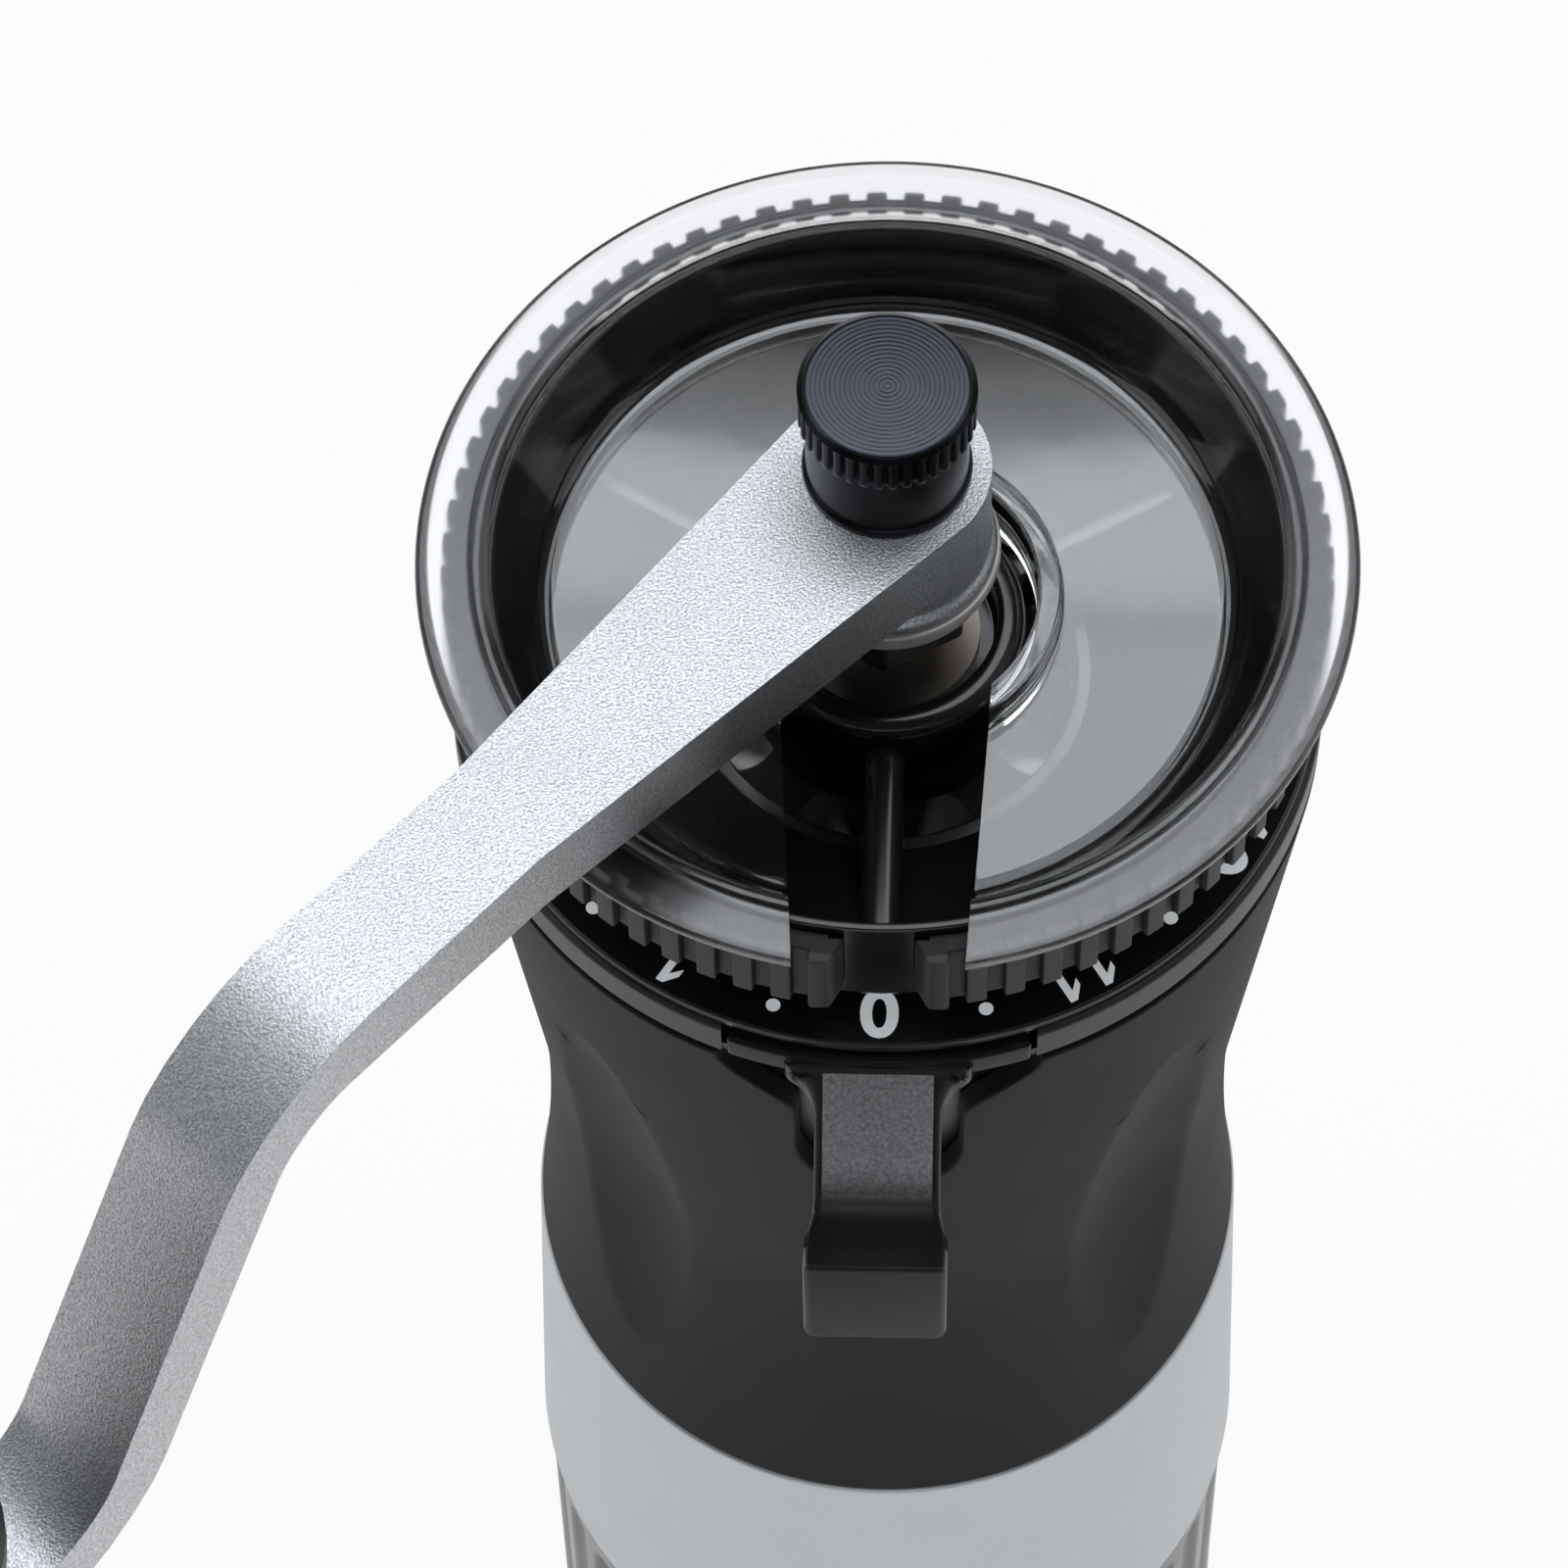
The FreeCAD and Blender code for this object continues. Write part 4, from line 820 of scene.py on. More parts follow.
class GRINDER_OT_grip(bpy.types.Operator):
    """Rubber sleeve with a flared notch and finger hollows"""
    bl_idname = "grinder.make_grip"
    bl_label = "Grip sleeve"

    def execute(self, context):
        sizes = context.scene.grinder_grip
        foot, top, top_radius = span("grip_sleeve")
        rows, columns = 118, 130
        shape = bmesh.new()
        ends = [shape.verts.new((0, -top_radius, height)) for height in (foot, top)]
        shape.edges.new(ends)
        bmesh.ops.subdivide_edges(shape, edges=shape.edges[:], cuts=rows)
        spin(shape, math.pi, columns)
        for vert in shape.verts:
            height = vert.co.z
            around_front = math.atan2(vert.co.x, -vert.co.y)
            radius = grip_radius(sizes, foot, top, top_radius, height)
            half = notch_half(sizes, top - height) / radius
            bearing = half + abs(around_front) * (1 - half / math.pi)
            from_end = min(bearing, math.pi - bearing)
            radius -= hollow_depth(sizes, from_end, height - foot, radius)
            vert.co.x = radius * math.sin(bearing)
            vert.co.y = -radius * math.cos(bearing)
        bmesh.ops.mirror(shape, geom=whole(shape), matrix=Matrix(), merge_dist=10 * WELD, axis="X")
        clean(shape)
        piece = make_piece(shape, "rubber_grip", "body", ["grip_sleeve"], "grip_rubber", crisp=None)
        wall = piece.modifiers.new("wall", "SOLIDIFY")
        wall.thickness = sizes.wall
        wall.offset = -1
        soften(piece, 0.45 * MM, limit=50)
        return {"FINISHED"}


class GRINDER_OT_trim(bpy.types.Operator):
    """Thin grey ring, open for the lever"""
    bl_idname = "grinder.make_trim"
    bl_label = "Trim ring"

    def execute(self, context):
        foot, top, out = span("trim_ring")
        bore = out - 1.9 * MM
        window = 13.4 * MM
        shape = plain_ring(bore, out, foot, top, 0.3 * MM, 0.5 * MM)
        open_slot(shape, (window, 0), (window, out))
        make_piece(shape, "grey_trim", "body", ["trim_ring"], "trim_grey")
        return {"FINISHED"}


def figure_shape(text, height):
    """A number laid flat, centred, with its foot towards -Y; the font's ones are bars and get a flag."""
    curve = bpy.data.curves.new("figure", "FONT")
    curve.body = text
    curve.resolution_u = 6
    curve.offset = STROKE
    holder = add_object("figure", curve)
    bpy.context.view_layer.update()
    graph = bpy.context.evaluated_depsgraph_get()
    mesh = bpy.data.meshes.new_from_object(holder.evaluated_get(graph))
    shape = bmesh.new()
    shape.from_mesh(mesh)
    sides = sorted({round(vert.co.x, 4) for vert in shape.verts})
    bars = sides[:2 * text.count("1")]
    for left, right in zip(bars[::2], bars[1::2]):
        for vert in shape.verts:
            if abs(vert.co.x - right) < 1e-3:
                vert.co.x = left + ONE_BAR
        flag = [(left - across, FIGURE_TOP - down, 0) for across, down in ONE_FLAG]
        flat_face(shape, flag, lambda x, y: (x, y, 0))
    bpy.data.objects.remove(holder)
    bpy.data.curves.remove(curve)
    bpy.data.meshes.remove(mesh)
    xs = [vert.co.x for vert in shape.verts]
    ys = [vert.co.y for vert in shape.verts]
    middle = Vector(((min(xs) + max(xs)) / 2, (min(ys) + max(ys)) / 2, 0))
    size = height / (max(ys) - min(ys))
    bmesh.ops.translate(shape, verts=shape.verts[:], vec=-middle)
    bmesh.ops.scale(shape, verts=shape.verts[:], vec=(size, size, size))
    return shape


def dot_shape(radius):
    """A flat round dot."""
    shape = bmesh.new()
    bmesh.ops.create_circle(shape, cap_ends=True, segments=28, radius=radius)
    return shape


class GRINDER_OT_dial(bpy.types.Operator):
    """Dished dial with its figures and dots"""
    bl_idname = "grinder.make_dial"
    bl_label = "Numbered dial"

    def execute(self, context):
        sizes = context.scene.grinder_dial
        foot, top, out = span("scale_ring")
        inner = 31.2 * MM
        bore = 28.3 * MM
        lip = top - 0.3 * MM
        dish = 0.7 * MM
        under = lip - 1.2 * MM
        neck = 36.0 * MM
        shape = lathe([
            (bore, foot, 0), (neck, foot, 0), (neck, under, 0), (out, under, 0.3 * MM), (out, lip, 0.35 * MM),
            (inner, lip - dish, 0.3 * MM), (inner, top, 0.2 * MM), (bore, top, 0),
        ])
        make_piece(shape, "dished_dial", "body", ["scale_ring"], "dial_black")
        slope = math.atan2(dish, out - inner)
        marks = bmesh.new()
        for number in range(sizes.figures):
            bearing = FRONT - TURN * number / sizes.figures
            figure = figure_shape(str(number), sizes.figure_height)
            self.lay(marks, figure, sizes.figure_ring, bearing, slope, lip - dish, inner, sizes.ink)
            halfway = bearing - TURN / (2 * sizes.figures)
            self.lay(marks, dot_shape(sizes.dot_radius), sizes.dot_ring, halfway, slope, lip - dish, inner,
                     sizes.ink)
        piece = make_piece(marks, "dial_figures", "body", [], "figure_print_glow")
        return {"FINISHED"}

    def lay(self, marks, mark, ring, bearing, slope, dish_z, dish_radius, ink):
        """Give a flat mark its thickness and lay it on the dish with its head outwards."""
        raised = bmesh.ops.extrude_face_region(mark, geom=mark.faces[:])
        up = [item for item in raised["geom"] if isinstance(item, bmesh.types.BMVert)]
        bmesh.ops.translate(mark, verts=up, vec=(0, 0, ink))
        bmesh.ops.recalc_face_normals(mark, faces=mark.faces[:])
        height = dish_z + (ring - dish_radius) * math.tan(slope)
        stand = Matrix.Translation((0, ring, height)) @ Matrix.Rotation(slope, 4, "X")
        bmesh.ops.transform(mark, verts=mark.verts[:], matrix=stand)
        absorb(marks, around(mark, bearing + FRONT))


class GRINDER_OT_ring(bpy.types.Operator):
    """Ribbed adjusting ring with the pointer's cheeks"""
    bl_idname = "grinder.make_ring"
    bl_label = "Adjusting ring"

    def execute(self, context):
        sizes = context.scene.grinder_dial
        foot, top, out = span("adjusting_ring")
        bore = 35.45 * MM
        band = out - 0.75 * MM
        inset = 0.06 * MM
        edge = 0.2 * MM
        shape = plain_ring(bore + inset, band, foot + inset, top - inset, edge, edge)
        gap = 4.2 * MM
        open_slot(shape, (gap, 0), (gap, out))
        half = sizes.rib_width / 2
        # The cheeks take the room of the front ribs: the first rib stands this many pitches from the front.
        first = 2.5
        for number in range(sizes.ribs):
            rib = prism([
                (-half, -out, 0), (half, -out, 0), (half, -bore, 0), (-half, -bore, 0),
            ], lambda x, y: (x, y, foot), (0, 0, top - foot))
            round_edges(rib, sizes.rib_edge, 2)
            absorb(shape, around(rib, sizes.rib_pitch * (number + first)))
        throat, mouth, cheek_out = 2.8 * MM, 4.1 * MM, 5.9 * MM
        cheek_edge = sizes.rib_edge * 1.6
        for side in (1, -1):
            cheek = prism([
                (side * throat, -bore, 0), (side * mouth, -out, 0), (side * cheek_out, -out, 0),
                (side * cheek_out, -bore, 0),
            ], lambda x, y: (x, y, foot), (0, 0, top - foot))
            round_edges(cheek, cheek_edge, 2)
            absorb(shape, cheek)
        make_piece(shape, "ribbed_ring", "hopper", ["adjusting_ring"], "ring_black")
        return {"FINISHED"}


class GRINDER_OT_hopper(bpy.types.Operator):
    """Funnel, hub and spokes"""
    bl_idname = "grinder.make_hopper"
    bl_label = "Hopper"

    def execute(self, context):
        foot, top, out = span("hopper")
        mouth = 34.6 * MM
        bend = 31.0 * MM
        bend_z = top - 11 * MM
        throat = 18.0 * MM
        lip = 16.4 * MM
        throat_z = bend_z - 7 * MM
        throat_foot = throat_z - 7 * MM
        seat = high("scale_ring")
        skirt = 28.0 * MM
        wall = 2 * MM
        ledge_z = throat_z - 0.5 * MM
        shoulder = low("adjusting_ring") - wall
        shape = lathe([
            (mouth, top, 0.25 * MM), (bend, bend_z, 2.5 * MM), (throat, throat_z, 0.5 * MM),
            (throat - 0.3 * MM, ledge_z, 0), (lip, ledge_z, 0.3 * MM), (lip, throat_foot, 0),
            (throat + wall, throat_foot, 0), (throat + wall, throat_z - 1 * MM, 0), (skirt - wall, seat, 0),
            (skirt - wall, foot, 0), (skirt, foot, 0), (skirt, seat, 0), (skirt + 2.5 * MM, seat, 0),
            (out, shoulder, 0.5 * MM), (out, top, 0.25 * MM),
        ])
        hub = 12.0 * MM
        hub_top = top - 8 * MM
        hub_foot = hub_top - 14 * MM
        chamfer = 1.2 * MM
        cup = 9.5 * MM
        cup_floor = hub_top - 4 * MM
        bore = 6.55 * MM
        absorb(shape, lathe([
            (bore, hub_foot, 0), (hub - chamfer, hub_foot, 0), (hub, hub_foot + chamfer, 0),
            (hub, hub_top, 1.6 * MM), (cup, hub_top, 0.6 * MM), (cup, cup_floor, 0.4 * MM),
            (bore, cup_floor, 0),
        ], SMALL_STEPS))
        spokes = 3
        for number in range(spokes):
            absorb(shape, around(self.spoke(hub, bend, bend_z), TURN * number / spokes))
        make_piece(shape, "hopper_funnel", "hopper", ["hopper"], "hopper_black")
        return {"FINISHED"}

    def spoke(self, hub, bend, top):
        """A bar with a rounded back from the hub to the funnel's wall."""
        half = 1.8 * MM
        crown = 1.5 * MM
        foot = top - 4.5 * MM
        start = hub - 0.6 * MM
        end = bend + 0.25 * MM
        return prism([
            (-half, foot, 0), (half, foot, 0), (half, top, crown), (-half, top, crown),
        ], lambda x, z: (x, -start, z), (0, start - end, 0))


class GRINDER_OT_lid(bpy.types.Operator):
    """Clear lid with its collared hole and filling slot"""
    bl_idname = "grinder.make_lid"
    bl_label = "Clear lid"

    def execute(self, context):
        sizes = context.scene.grinder_lid
        rim, under_skirt = high("lid"), low("lid")
        out = min(high("lid", 0), high("lid", 1))
        under = rim - sizes.depth - sizes.floor_thick
        floor = rim - sizes.depth
        flange_foot = rim - sizes.flange
        mouth = sizes.ridge + 0.1 * MM
        face = rim - sizes.bead
        collar = sizes.hole + sizes.collar
        bead = 0.9 * MM
        steps = 256
        shape = lathe([
            (sizes.hole, under_skirt, 0.3 * MM), (collar, under_skirt, 0.3 * MM), (collar, under, 0.2 * MM),
            (sizes.floor_radius + 0.95 * MM, under, 1.4 * MM), (mouth, flange_foot, 0.8 * MM),
            (out - 0.9 * MM, flange_foot, 0.4 * MM), (out, flange_foot + 0.7 * MM, 0.35 * MM),
            (out, face, 0.5 * MM), (sizes.ridge + 1.2 * MM, face, 0.3 * MM),
            (sizes.ridge + bead, rim, 0.35 * MM), (sizes.ridge, rim, 0.6 * MM),
            (sizes.floor_radius, floor, 1.3 * MM), (collar, floor, 0.3 * MM),
            (collar, floor + sizes.collar, 0.35 * MM), (sizes.hole, floor + sizes.collar, 0.35 * MM),
        ], steps)
        open_slot(shape, (sizes.slot_inner, sizes.hole / 2), (sizes.slot_outer, out))
        piece = make_piece(shape, "clear_lid", "lid", ["lid"], "lid_clear", crisp=None)
        soften(piece, 0.3 * MM, limit=50)
        return {"FINISHED"}


class GRINDER_OT_crank(bpy.types.Operator):
    """Crank arm that tapers and steps down outside the grip"""
    bl_idname = "grinder.make_crank"
    bl_label = "Crank arm"

    def execute(self, context):
        sizes = context.scene.grinder_crank
        top = low("thumb_nut")
        boss = high("upper_washer")
        end_under = low("crank_arm")
        end_top = end_under + sizes.thick
        tip = sizes.radius + sizes.knob_end
        lower_bend = sizes.flat + sizes.slope
        corners = [
            (-sizes.hub_end, top - sizes.thick, 0),
            (sizes.flat - sizes.slope_shift, top - sizes.thick, sizes.inner_bend),
            (lower_bend - sizes.slope_shift, end_under, sizes.outer_bend), (tip, end_under, 0),
            (tip, end_top, 0), (lower_bend, end_top, sizes.inner_bend), (sizes.flat, top, sizes.outer_bend),
            (-sizes.hub_end, top, 0),
        ]
        # The side view is made one unit wide, cut across, and then given the arm's width at each vertex.
        shape = prism(corners, lambda x, z: (x, -0.5, z), (0, 1, 0))
        steps = 14
        spots = []
        for step in range(1, steps + 1):
            bend = math.pi / 2 * step / (steps + 0.5)
            spots.append((-sizes.hub_end * math.sin(bend), 0, 0))
            spots.append((sizes.radius + sizes.knob_end * math.sin(bend), 0, 0))
        spots += [(0, 0, 0), (sizes.neck, 0, 0), (sizes.radius, 0, 0)]
        slice_at(shape, spots, (1, 0, 0))
        for vert in shape.verts:
            vert.co.y *= 2 * self.half_width(sizes, vert.co.x)
        clean(shape)
        around(shape, sizes.bearing)
        piece = make_piece(shape, "crank_blade", "crank", ["crank_arm"], "crank_aluminium", crisp=None)
        soften(piece, sizes.edge, segments=5, limit=50)
        flange, edge = sizes.boss_flange, 0.5 * MM
        side = sizes.hub_end - 0.02 * MM
        inside = top - 2 * MM
        collar = lathe([
            (SHAFT_HOLE, boss, 0), (flange, boss, edge), (flange, boss + 1.2 * MM, edge),
            (side, boss + 1.7 * MM, 0.4 * MM), (side, inside, 0), (SHAFT_HOLE, inside, 0),
        ], SMALL_STEPS)
        make_piece(collar, "crank_boss", "crank", [], "crank_aluminium")
        return {"FINISHED"}

    def half_width(self, sizes, along):
        """Half of the arm's width at a distance from the shaft."""
        if along < 0:
            return math.sqrt(max(sizes.hub_end ** 2 - along ** 2, 0))
        if along > sizes.radius:
            return math.sqrt(max(sizes.knob_end ** 2 - (along - sizes.radius) ** 2, 0))
        if along < sizes.neck:
            return sizes.hub_end + (sizes.neck_half - sizes.hub_end) * along / sizes.neck
        run = (along - sizes.neck) / (sizes.radius - sizes.neck)
        return sizes.neck_half + (sizes.knob_end - sizes.neck_half) * run


class GRINDER_OT_nuts(bpy.types.Operator):
    """Thumb nut, washers and hexagon nut on the shaft"""
    bl_idname = "grinder.make_nuts"
    bl_label = "Nuts and washers"

    def execute(self, context):
        sizes = context.scene.grinder_crank
        self.thumb_nut(sizes)
        edge = 0.25 * MM
        for node in ("upper_washer", "lower_washer"):
            foot, top, out = span(node)
            shape = plain_ring(SHAFT_HOLE, out, foot, top, edge, edge, SMALL_STEPS)
            make_piece(shape, node + "_turned", "crank", [node], "washer_steel")
        shape = bmesh.new()
        tall = high("hex_nut") - low("hex_nut")
        bmesh.ops.create_cone(shape, cap_ends=True, segments=6, radius1=high("hex_nut", 0),
                              radius2=high("hex_nut", 0), depth=tall)
        bmesh.ops.translate(shape, verts=shape.verts[:], vec=(0, 0, low("hex_nut") + tall / 2))
        round_edges(shape, 0.4 * MM, 3)
        make_piece(shape, "hexagon_nut", "crank", ["hex_nut"], "nut_dark")
        return {"FINISHED"}

    def thumb_nut(self, sizes):
        foot, top = low("thumb_nut"), high("thumb_nut")
        flange, neck, head, face = 7.1 * MM, 6.8 * MM, 7.4 * MM, 6.75 * MM
        head_z = top - 4.4 * MM
        chamfer_z = top - 0.55 * MM
        rows = [head_z + 0.15 * MM, head_z + 0.6 * MM, chamfer_z - 0.4 * MM, chamfer_z]
        corners = [
            (0, foot, 0), (flange, foot, 0.15 * MM), (flange, foot + 0.9 * MM, 0.3 * MM),
            (neck, foot + 1.1 * MM, 0.2 * MM), (neck, head_z, 0.1 * MM), (head - 0.1 * MM, head_z, 0),
        ]
        corners += [(head, row, 0) for row in rows]
        corners += [
            (face, top, 0.15 * MM), (0, top, 0),
        ]
        shape = lathe(corners, sizes.knurls * 8)
        for vert in shape.verts:
            radius = vert.co.xy.length
            if radius < head - 0.15 * MM or not head_z - TINY < vert.co.z < chamfer_z - TINY:
                continue
            off = abs(off_middle(vert, sizes.knurls)) * 2
            vert.co.xy *= (radius - sizes.knurl_depth * (1 - ease(0.1, 0.6, off))) / radius
        make_piece(shape, "knurled_nut", "crank", ["thumb_nut"], "thumb_black")


class GRINDER_OT_knob(bpy.types.Operator):
    """Turned knob and its cap"""
    bl_idname = "grinder.make_knob"
    bl_label = "Knob"

    def execute(self, context):
        box_low, box_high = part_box("crank_knob")
        centre = (box_low + box_high) / 2
        spot = (centre.x, centre.y, 0)
        foot, top = box_low.z, box_high.z
        belly = (box_high.x - box_low.x) / 2
        hole, base, flank, crown, recess = 3.05 * MM, 7 * MM, 8.6 * MM, 8.8 * MM, 6 * MM
        recess_foot = top - 6 * MM
        flank_z, belly_z, shoulder_z = foot + 6 * MM, foot + 14 * MM, foot + 20 * MM
        knob = lathe([
            (hole, foot, 0), (base, foot, 0.5 * MM), (flank, flank_z, 4 * MM), (belly, belly_z, 6 * MM),
            (belly, shoulder_z, 5 * MM), (crown, top, 1.6 * MM), (recess, top, 0.3 * MM),
            (recess, recess_foot, 0), (hole, recess_foot, 0),
        ], SMALL_STEPS, spot)
        make_piece(knob, "turned_knob", "knob", ["crank_knob"], "knob_black")
        out = (high("knob_cap", 0) - low("knob_cap", 0)) / 2
        cap_foot, rim_z, ring_z, crown_z = low("knob_cap"), top - 0.1 * MM, top - 0.5 * MM, top - 0.3 * MM
        cap_steps = 96
        cap = lathe([
            (0, cap_foot, 0), (out, cap_foot, 0), (out, rim_z, 0.4 * MM), (out - 1.2 * MM, rim_z, 0.3 * MM),
            (out - 1.5 * MM, ring_z, 0.3 * MM), (0, crown_z, 0),
        ], cap_steps, spot)
        make_piece(cap, "knob_button", "knob", ["knob_cap"], "knob_black")
        return {"FINISHED"}


class GRINDER_OT_lever(bpy.types.Operator):
    """Finger lever: a curved tab, a railed neck and an upturned block"""
    bl_idname = "grinder.make_lever"
    bl_label = "Lever"

    def execute(self, context):
        sizes = context.scene.grinder_lever
        box_low, box_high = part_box("release_lever")
        top = box_high.z
        reach = -box_low.y
        foot = box_low.z
        tab_out = high("trim_ring", 0) + 0.4 * MM
        block_top = low("trim_ring") - 1 * MM
        valley_z = top - sizes.valley_drop
        start = tab_out - 1.9 * MM
        neck_top = top - 0.06 * MM
        root = top - 4 * MM
        block_back = reach - 2.6 * MM
        corners = [
            (start, neck_top, 0), (tab_out - 0.2 * MM, neck_top, 1 * MM), (sizes.valley, valley_z, 5.2 * MM),
            (reach, block_top, 0), (reach, foot, 0), (block_back, foot, 0),
            (sizes.valley - 1 * MM, valley_z - sizes.thick, 3 * MM), (tab_out, root, 0), (start, root, 0),
        ]
        # The side view is made one unit wide, cut across, and then given the lever's width at each vertex.
        shape = prism(corners, lambda out, up: (-0.5, -out, up), (1, 0, 0))
        spots = [(0, -(tab_out + sizes.flare * step / 8), 0) for step in range(9)]
        spots += [(0, -(sizes.valley - 2 * MM + step * MM), 0) for step in range(8)]
        slice_at(shape, spots, (0, 1, 0))
        for vert in shape.verts:
            vert.co.x *= 2 * self.half_width(sizes, -vert.co.y, tab_out)
        clean(shape)
        neck = make_piece(shape, "finger_lever", "lever", ["release_lever"], "lever_black", crisp=None)
        soften(neck, sizes.edge, segments=5, limit=42, moulded=True)
        bar = make_piece(self.tab(tab_out, top), "lever_tab", "lever", [], "lever_black", crisp=None)
        soften(bar, 0.4 * MM, limit=42)
        return {"FINISHED"}

    def half_width(self, sizes, out, tab_out):
        """Half of the lever's width at a distance from the axis."""
        near = min(max((out - tab_out) / sizes.flare, 0), 1)
        fillet = sizes.flare * (1 - math.sqrt(1 - (1 - near) ** 2))
        swell = ease(sizes.valley - 1 * MM, sizes.valley + 4 * MM, out)
        return sizes.neck_half + fillet + (sizes.block_half - sizes.neck_half) * swell

    def tab(self, tab_out, top):
        """The bar that follows the ring on both sides of the neck."""
        inner = tab_out - 2 * MM
        foot = low("trim_ring") + 0.6 * MM
        half = 13 * MM
        sweep = 2 * math.asin(half / tab_out)
        shape = bmesh.new()
        flat_face(shape, [
            (inner, foot, 0), (tab_out, foot, 0), (tab_out, top, 0), (inner, top, 0),
        ], lambda radius, height: (radius, 0, height))
        spin(shape, sweep, 24)
        clean(shape)
        return around(shape, FRONT - sweep / 2)


class GRINDER_OT_stage(bpy.types.Operator):
    """Floor, lights, world and camera"""
    bl_idname = "grinder.make_stage"
    bl_label = "Stage"

    def execute(self, context):
        sizes = context.scene.grinder_stage
        self.floor(sizes)
        self.world()
        self.lights()
        self.camera(sizes)
        context.scene.view_settings.view_transform = "Standard"
        return {"FINISHED"}

    def floor(self, sizes):
        """Pale floor that stays white behind the object and keeps its shadow."""
        shape = bmesh.new()
        bmesh.ops.create_grid(shape, x_segments=1, y_segments=1, size=sizes.floor)
        finish = Finish("floor_white")
        path = [finish.node("ShaderNodeLightPath", {}, {}, name)
                for name in ("Is Camera Ray", "Is Glossy Ray", "Is Transmission Ray")]
        glow_share = 0.93
        seen = (path[0] + path[1] + path[2]) * glow_share
        glow = finish.node("ShaderNodeEmission", {}, {"Color": (1, 1, 1, 1), "Strength": 1.0})
        matt = finish.node("ShaderNodeBsdfDiffuse", {}, {"Color": (0.9, 0.9, 0.9, 1)})
        mixed = finish.node("ShaderNodeMixShader", {}, {0: seen, 1: matt, 2: glow})
        output = finish.tree.nodes["Material Output"]
        finish.tree.links.new(mixed.socket, output.inputs["Surface"])
        mesh = mesh_of(shape, "floor")
        mesh.materials.append(finish.material)
        add_object("floor", mesh)

    def world(self):
        world = bpy.data.worlds.new("studio")
        world.use_nodes = True
        sky = world.node_tree.nodes["Background"]
        sky.inputs["Color"].default_value = (0.97, 0.98, 1.0, 1)
        sky.inputs["Strength"].default_value = 0.1
        bpy.context.scene.world = world

    def lights(self):
        """Soft boxes: name, place, aim, width, depth and radiance."""
        lid = Vector((0, 0, high("lid")))
        ceiling = high("lid") + 0.8
        boxes = (
            ("ceiling_box", (0, 0.19, ceiling), (0, 0.19, 0), 0.9, 0.566, 3.4),
            ("back_box", (0, 0.495, ceiling), (0, 0.495, 0), 0.9, 0.04, 4.2),
            ("cloud_box", (0, 0.526, ceiling), (0, 0.526, 0), 0.9, 0.018, 1.2),
            ("left_box", (-0.9, -0.1, 0.7), lid, 0.5, 0.8, 0.9),
            ("right_box", (0.9, 0.0, 0.6), lid, 0.5, 0.8, 0.7),
            ("front_box", (0.04, -1.1, 0.56), lid, 0.7, 0.2, 2.6),
        )
        for name, place, aim, wide, deep, radiance in boxes:
            lamp = bpy.data.lights.new(name, "AREA")
            lamp.shape = "RECTANGLE"
            lamp.color = (0.93, 0.965, 1.0)
            lamp.size = wide
            lamp.size_y = deep
            lamp.energy = radiance * math.pi * wide * deep
            holder = add_object(name, lamp)
            holder.location = place
            holder.rotation_mode = "QUATERNION"
            holder.rotation_quaternion = (Vector(aim) - Vector(place)).to_track_quat("-Z", "Y")

    def camera(self, sizes):
        """Camera at the photograph's angle; the rim's middle falls on a known spot of the picture."""
        picture = 1600
        focal = 7240
        rim_x, rim_y = 905.4, 561
        rim = Vector((0, 0, high("lid")))
        flat = math.cos(sizes.elevation)
        back = Vector((flat * math.sin(sizes.azimuth), -flat * math.cos(sizes.azimuth),
                       math.sin(sizes.elevation)))
        right = Vector((0, 0, 1)).cross(back).normalized()
        up = back.cross(right)
        aim = -back + right * ((picture / 2 - rim_x) / focal) + up * ((rim_y - picture / 2) / focal)
        swing = (-back).rotation_difference(aim)
        upright = Matrix((right, up, back)).transposed().to_quaternion()
        lens = bpy.data.cameras.new("photo_camera")
        lens.sensor_width = 36
        lens.lens = lens.sensor_width * focal / picture
        lens.clip_start = 0.01
        holder = add_object("photo_camera", lens)
        holder.matrix_world = Matrix.LocRotScale(rim + back * sizes.distance, swing @ upright, None)
        bpy.context.scene.camera = holder


OPERATORS = (
    GRINDER_OT_frame, GRINDER_OT_jar, GRINDER_OT_collar, GRINDER_OT_grip, GRINDER_OT_trim, GRINDER_OT_dial,
    GRINDER_OT_ring, GRINDER_OT_hopper, GRINDER_OT_lid, GRINDER_OT_crank, GRINDER_OT_nuts, GRINDER_OT_knob,
    GRINDER_OT_lever, GRINDER_OT_stage,
)

GROUPS = {
    "grinder_grip": GripSizes,
    "grinder_dial": DialSizes,
    "grinder_lid": LidSizes,
    "grinder_crank": CrankSizes,
    "grinder_lever": LeverSizes,
    "grinder_colours": FinishColours,
    "grinder_stage": StageSizes,
}


class GRINDER_PT_pieces(bpy.types.Panel):
    """Lists the grinder's pieces and sizes"""
    bl_label = "Hand crank grinder"
    bl_space_type = "VIEW_3D"
    bl_region_type = "UI"
    bl_category = "Grinder"

    def draw(self, context):
        for operator in OPERATORS:
            self.layout.operator(operator.bl_idname)
        for name, group in GROUPS.items():
            box = self.layout.box()
            box.label(text=group.__doc__)
            for size in group.__annotations__:
                box.prop(getattr(context.scene, name), size)


CLASSES = (*GROUPS.values(), *OPERATORS, GRINDER_PT_pieces)


def register():
    for each in CLASSES:
        bpy.utils.register_class(each)
    for name, group in GROUPS.items():
        setattr(bpy.types.Scene, name, bpy.props.PointerProperty(type=group))


def unregister():
    for name in GROUPS:
        delattr(bpy.types.Scene, name)
    for each in reversed(CLASSES):
        bpy.utils.unregister_class(each)


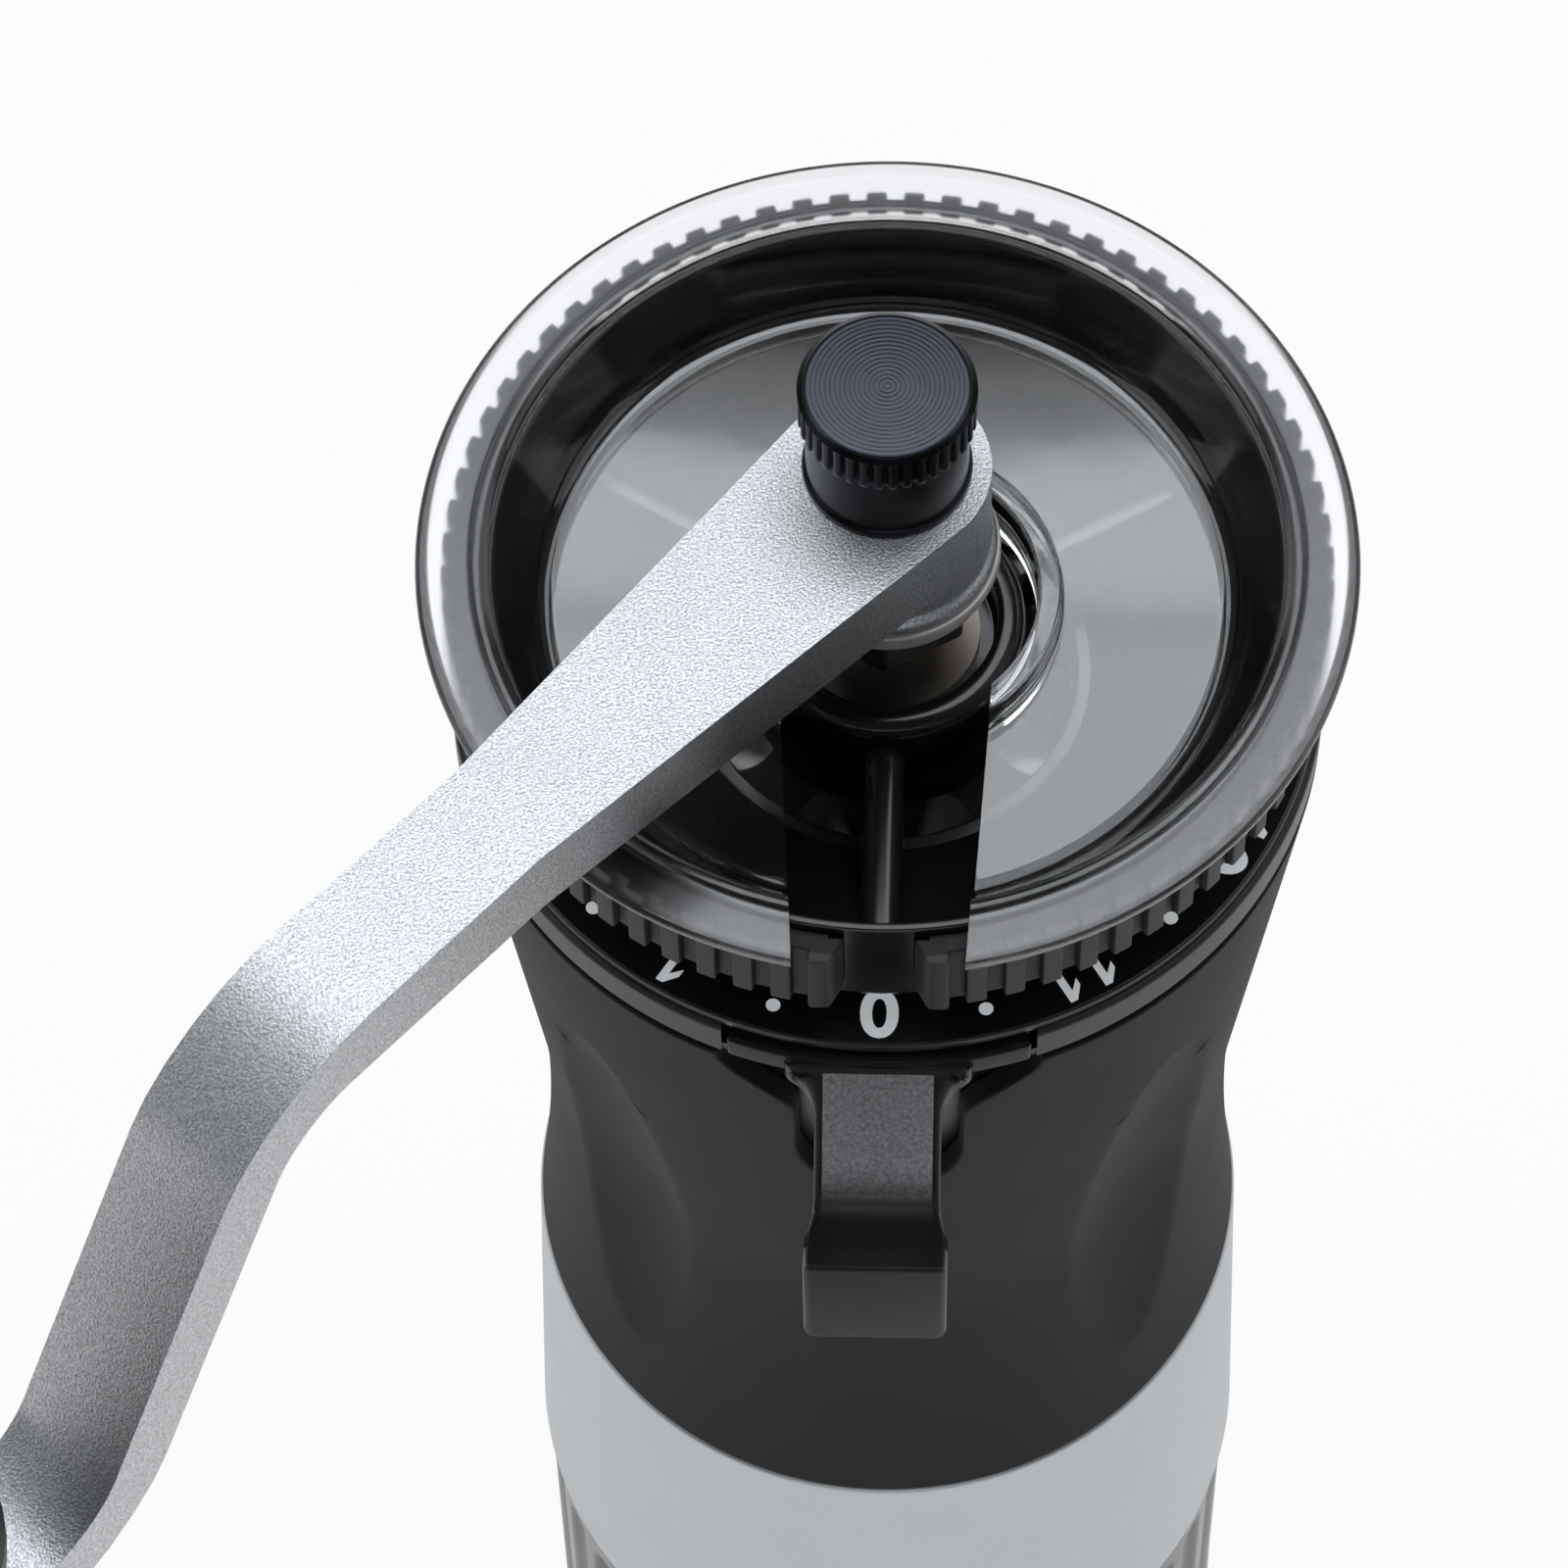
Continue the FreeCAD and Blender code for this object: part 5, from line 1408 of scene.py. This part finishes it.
def main():
    register()
    for operator in OPERATORS:
        family, name = operator.bl_idname.split(".")
        getattr(getattr(bpy.ops, family), name)()


if __name__ == "__main__":
    main()
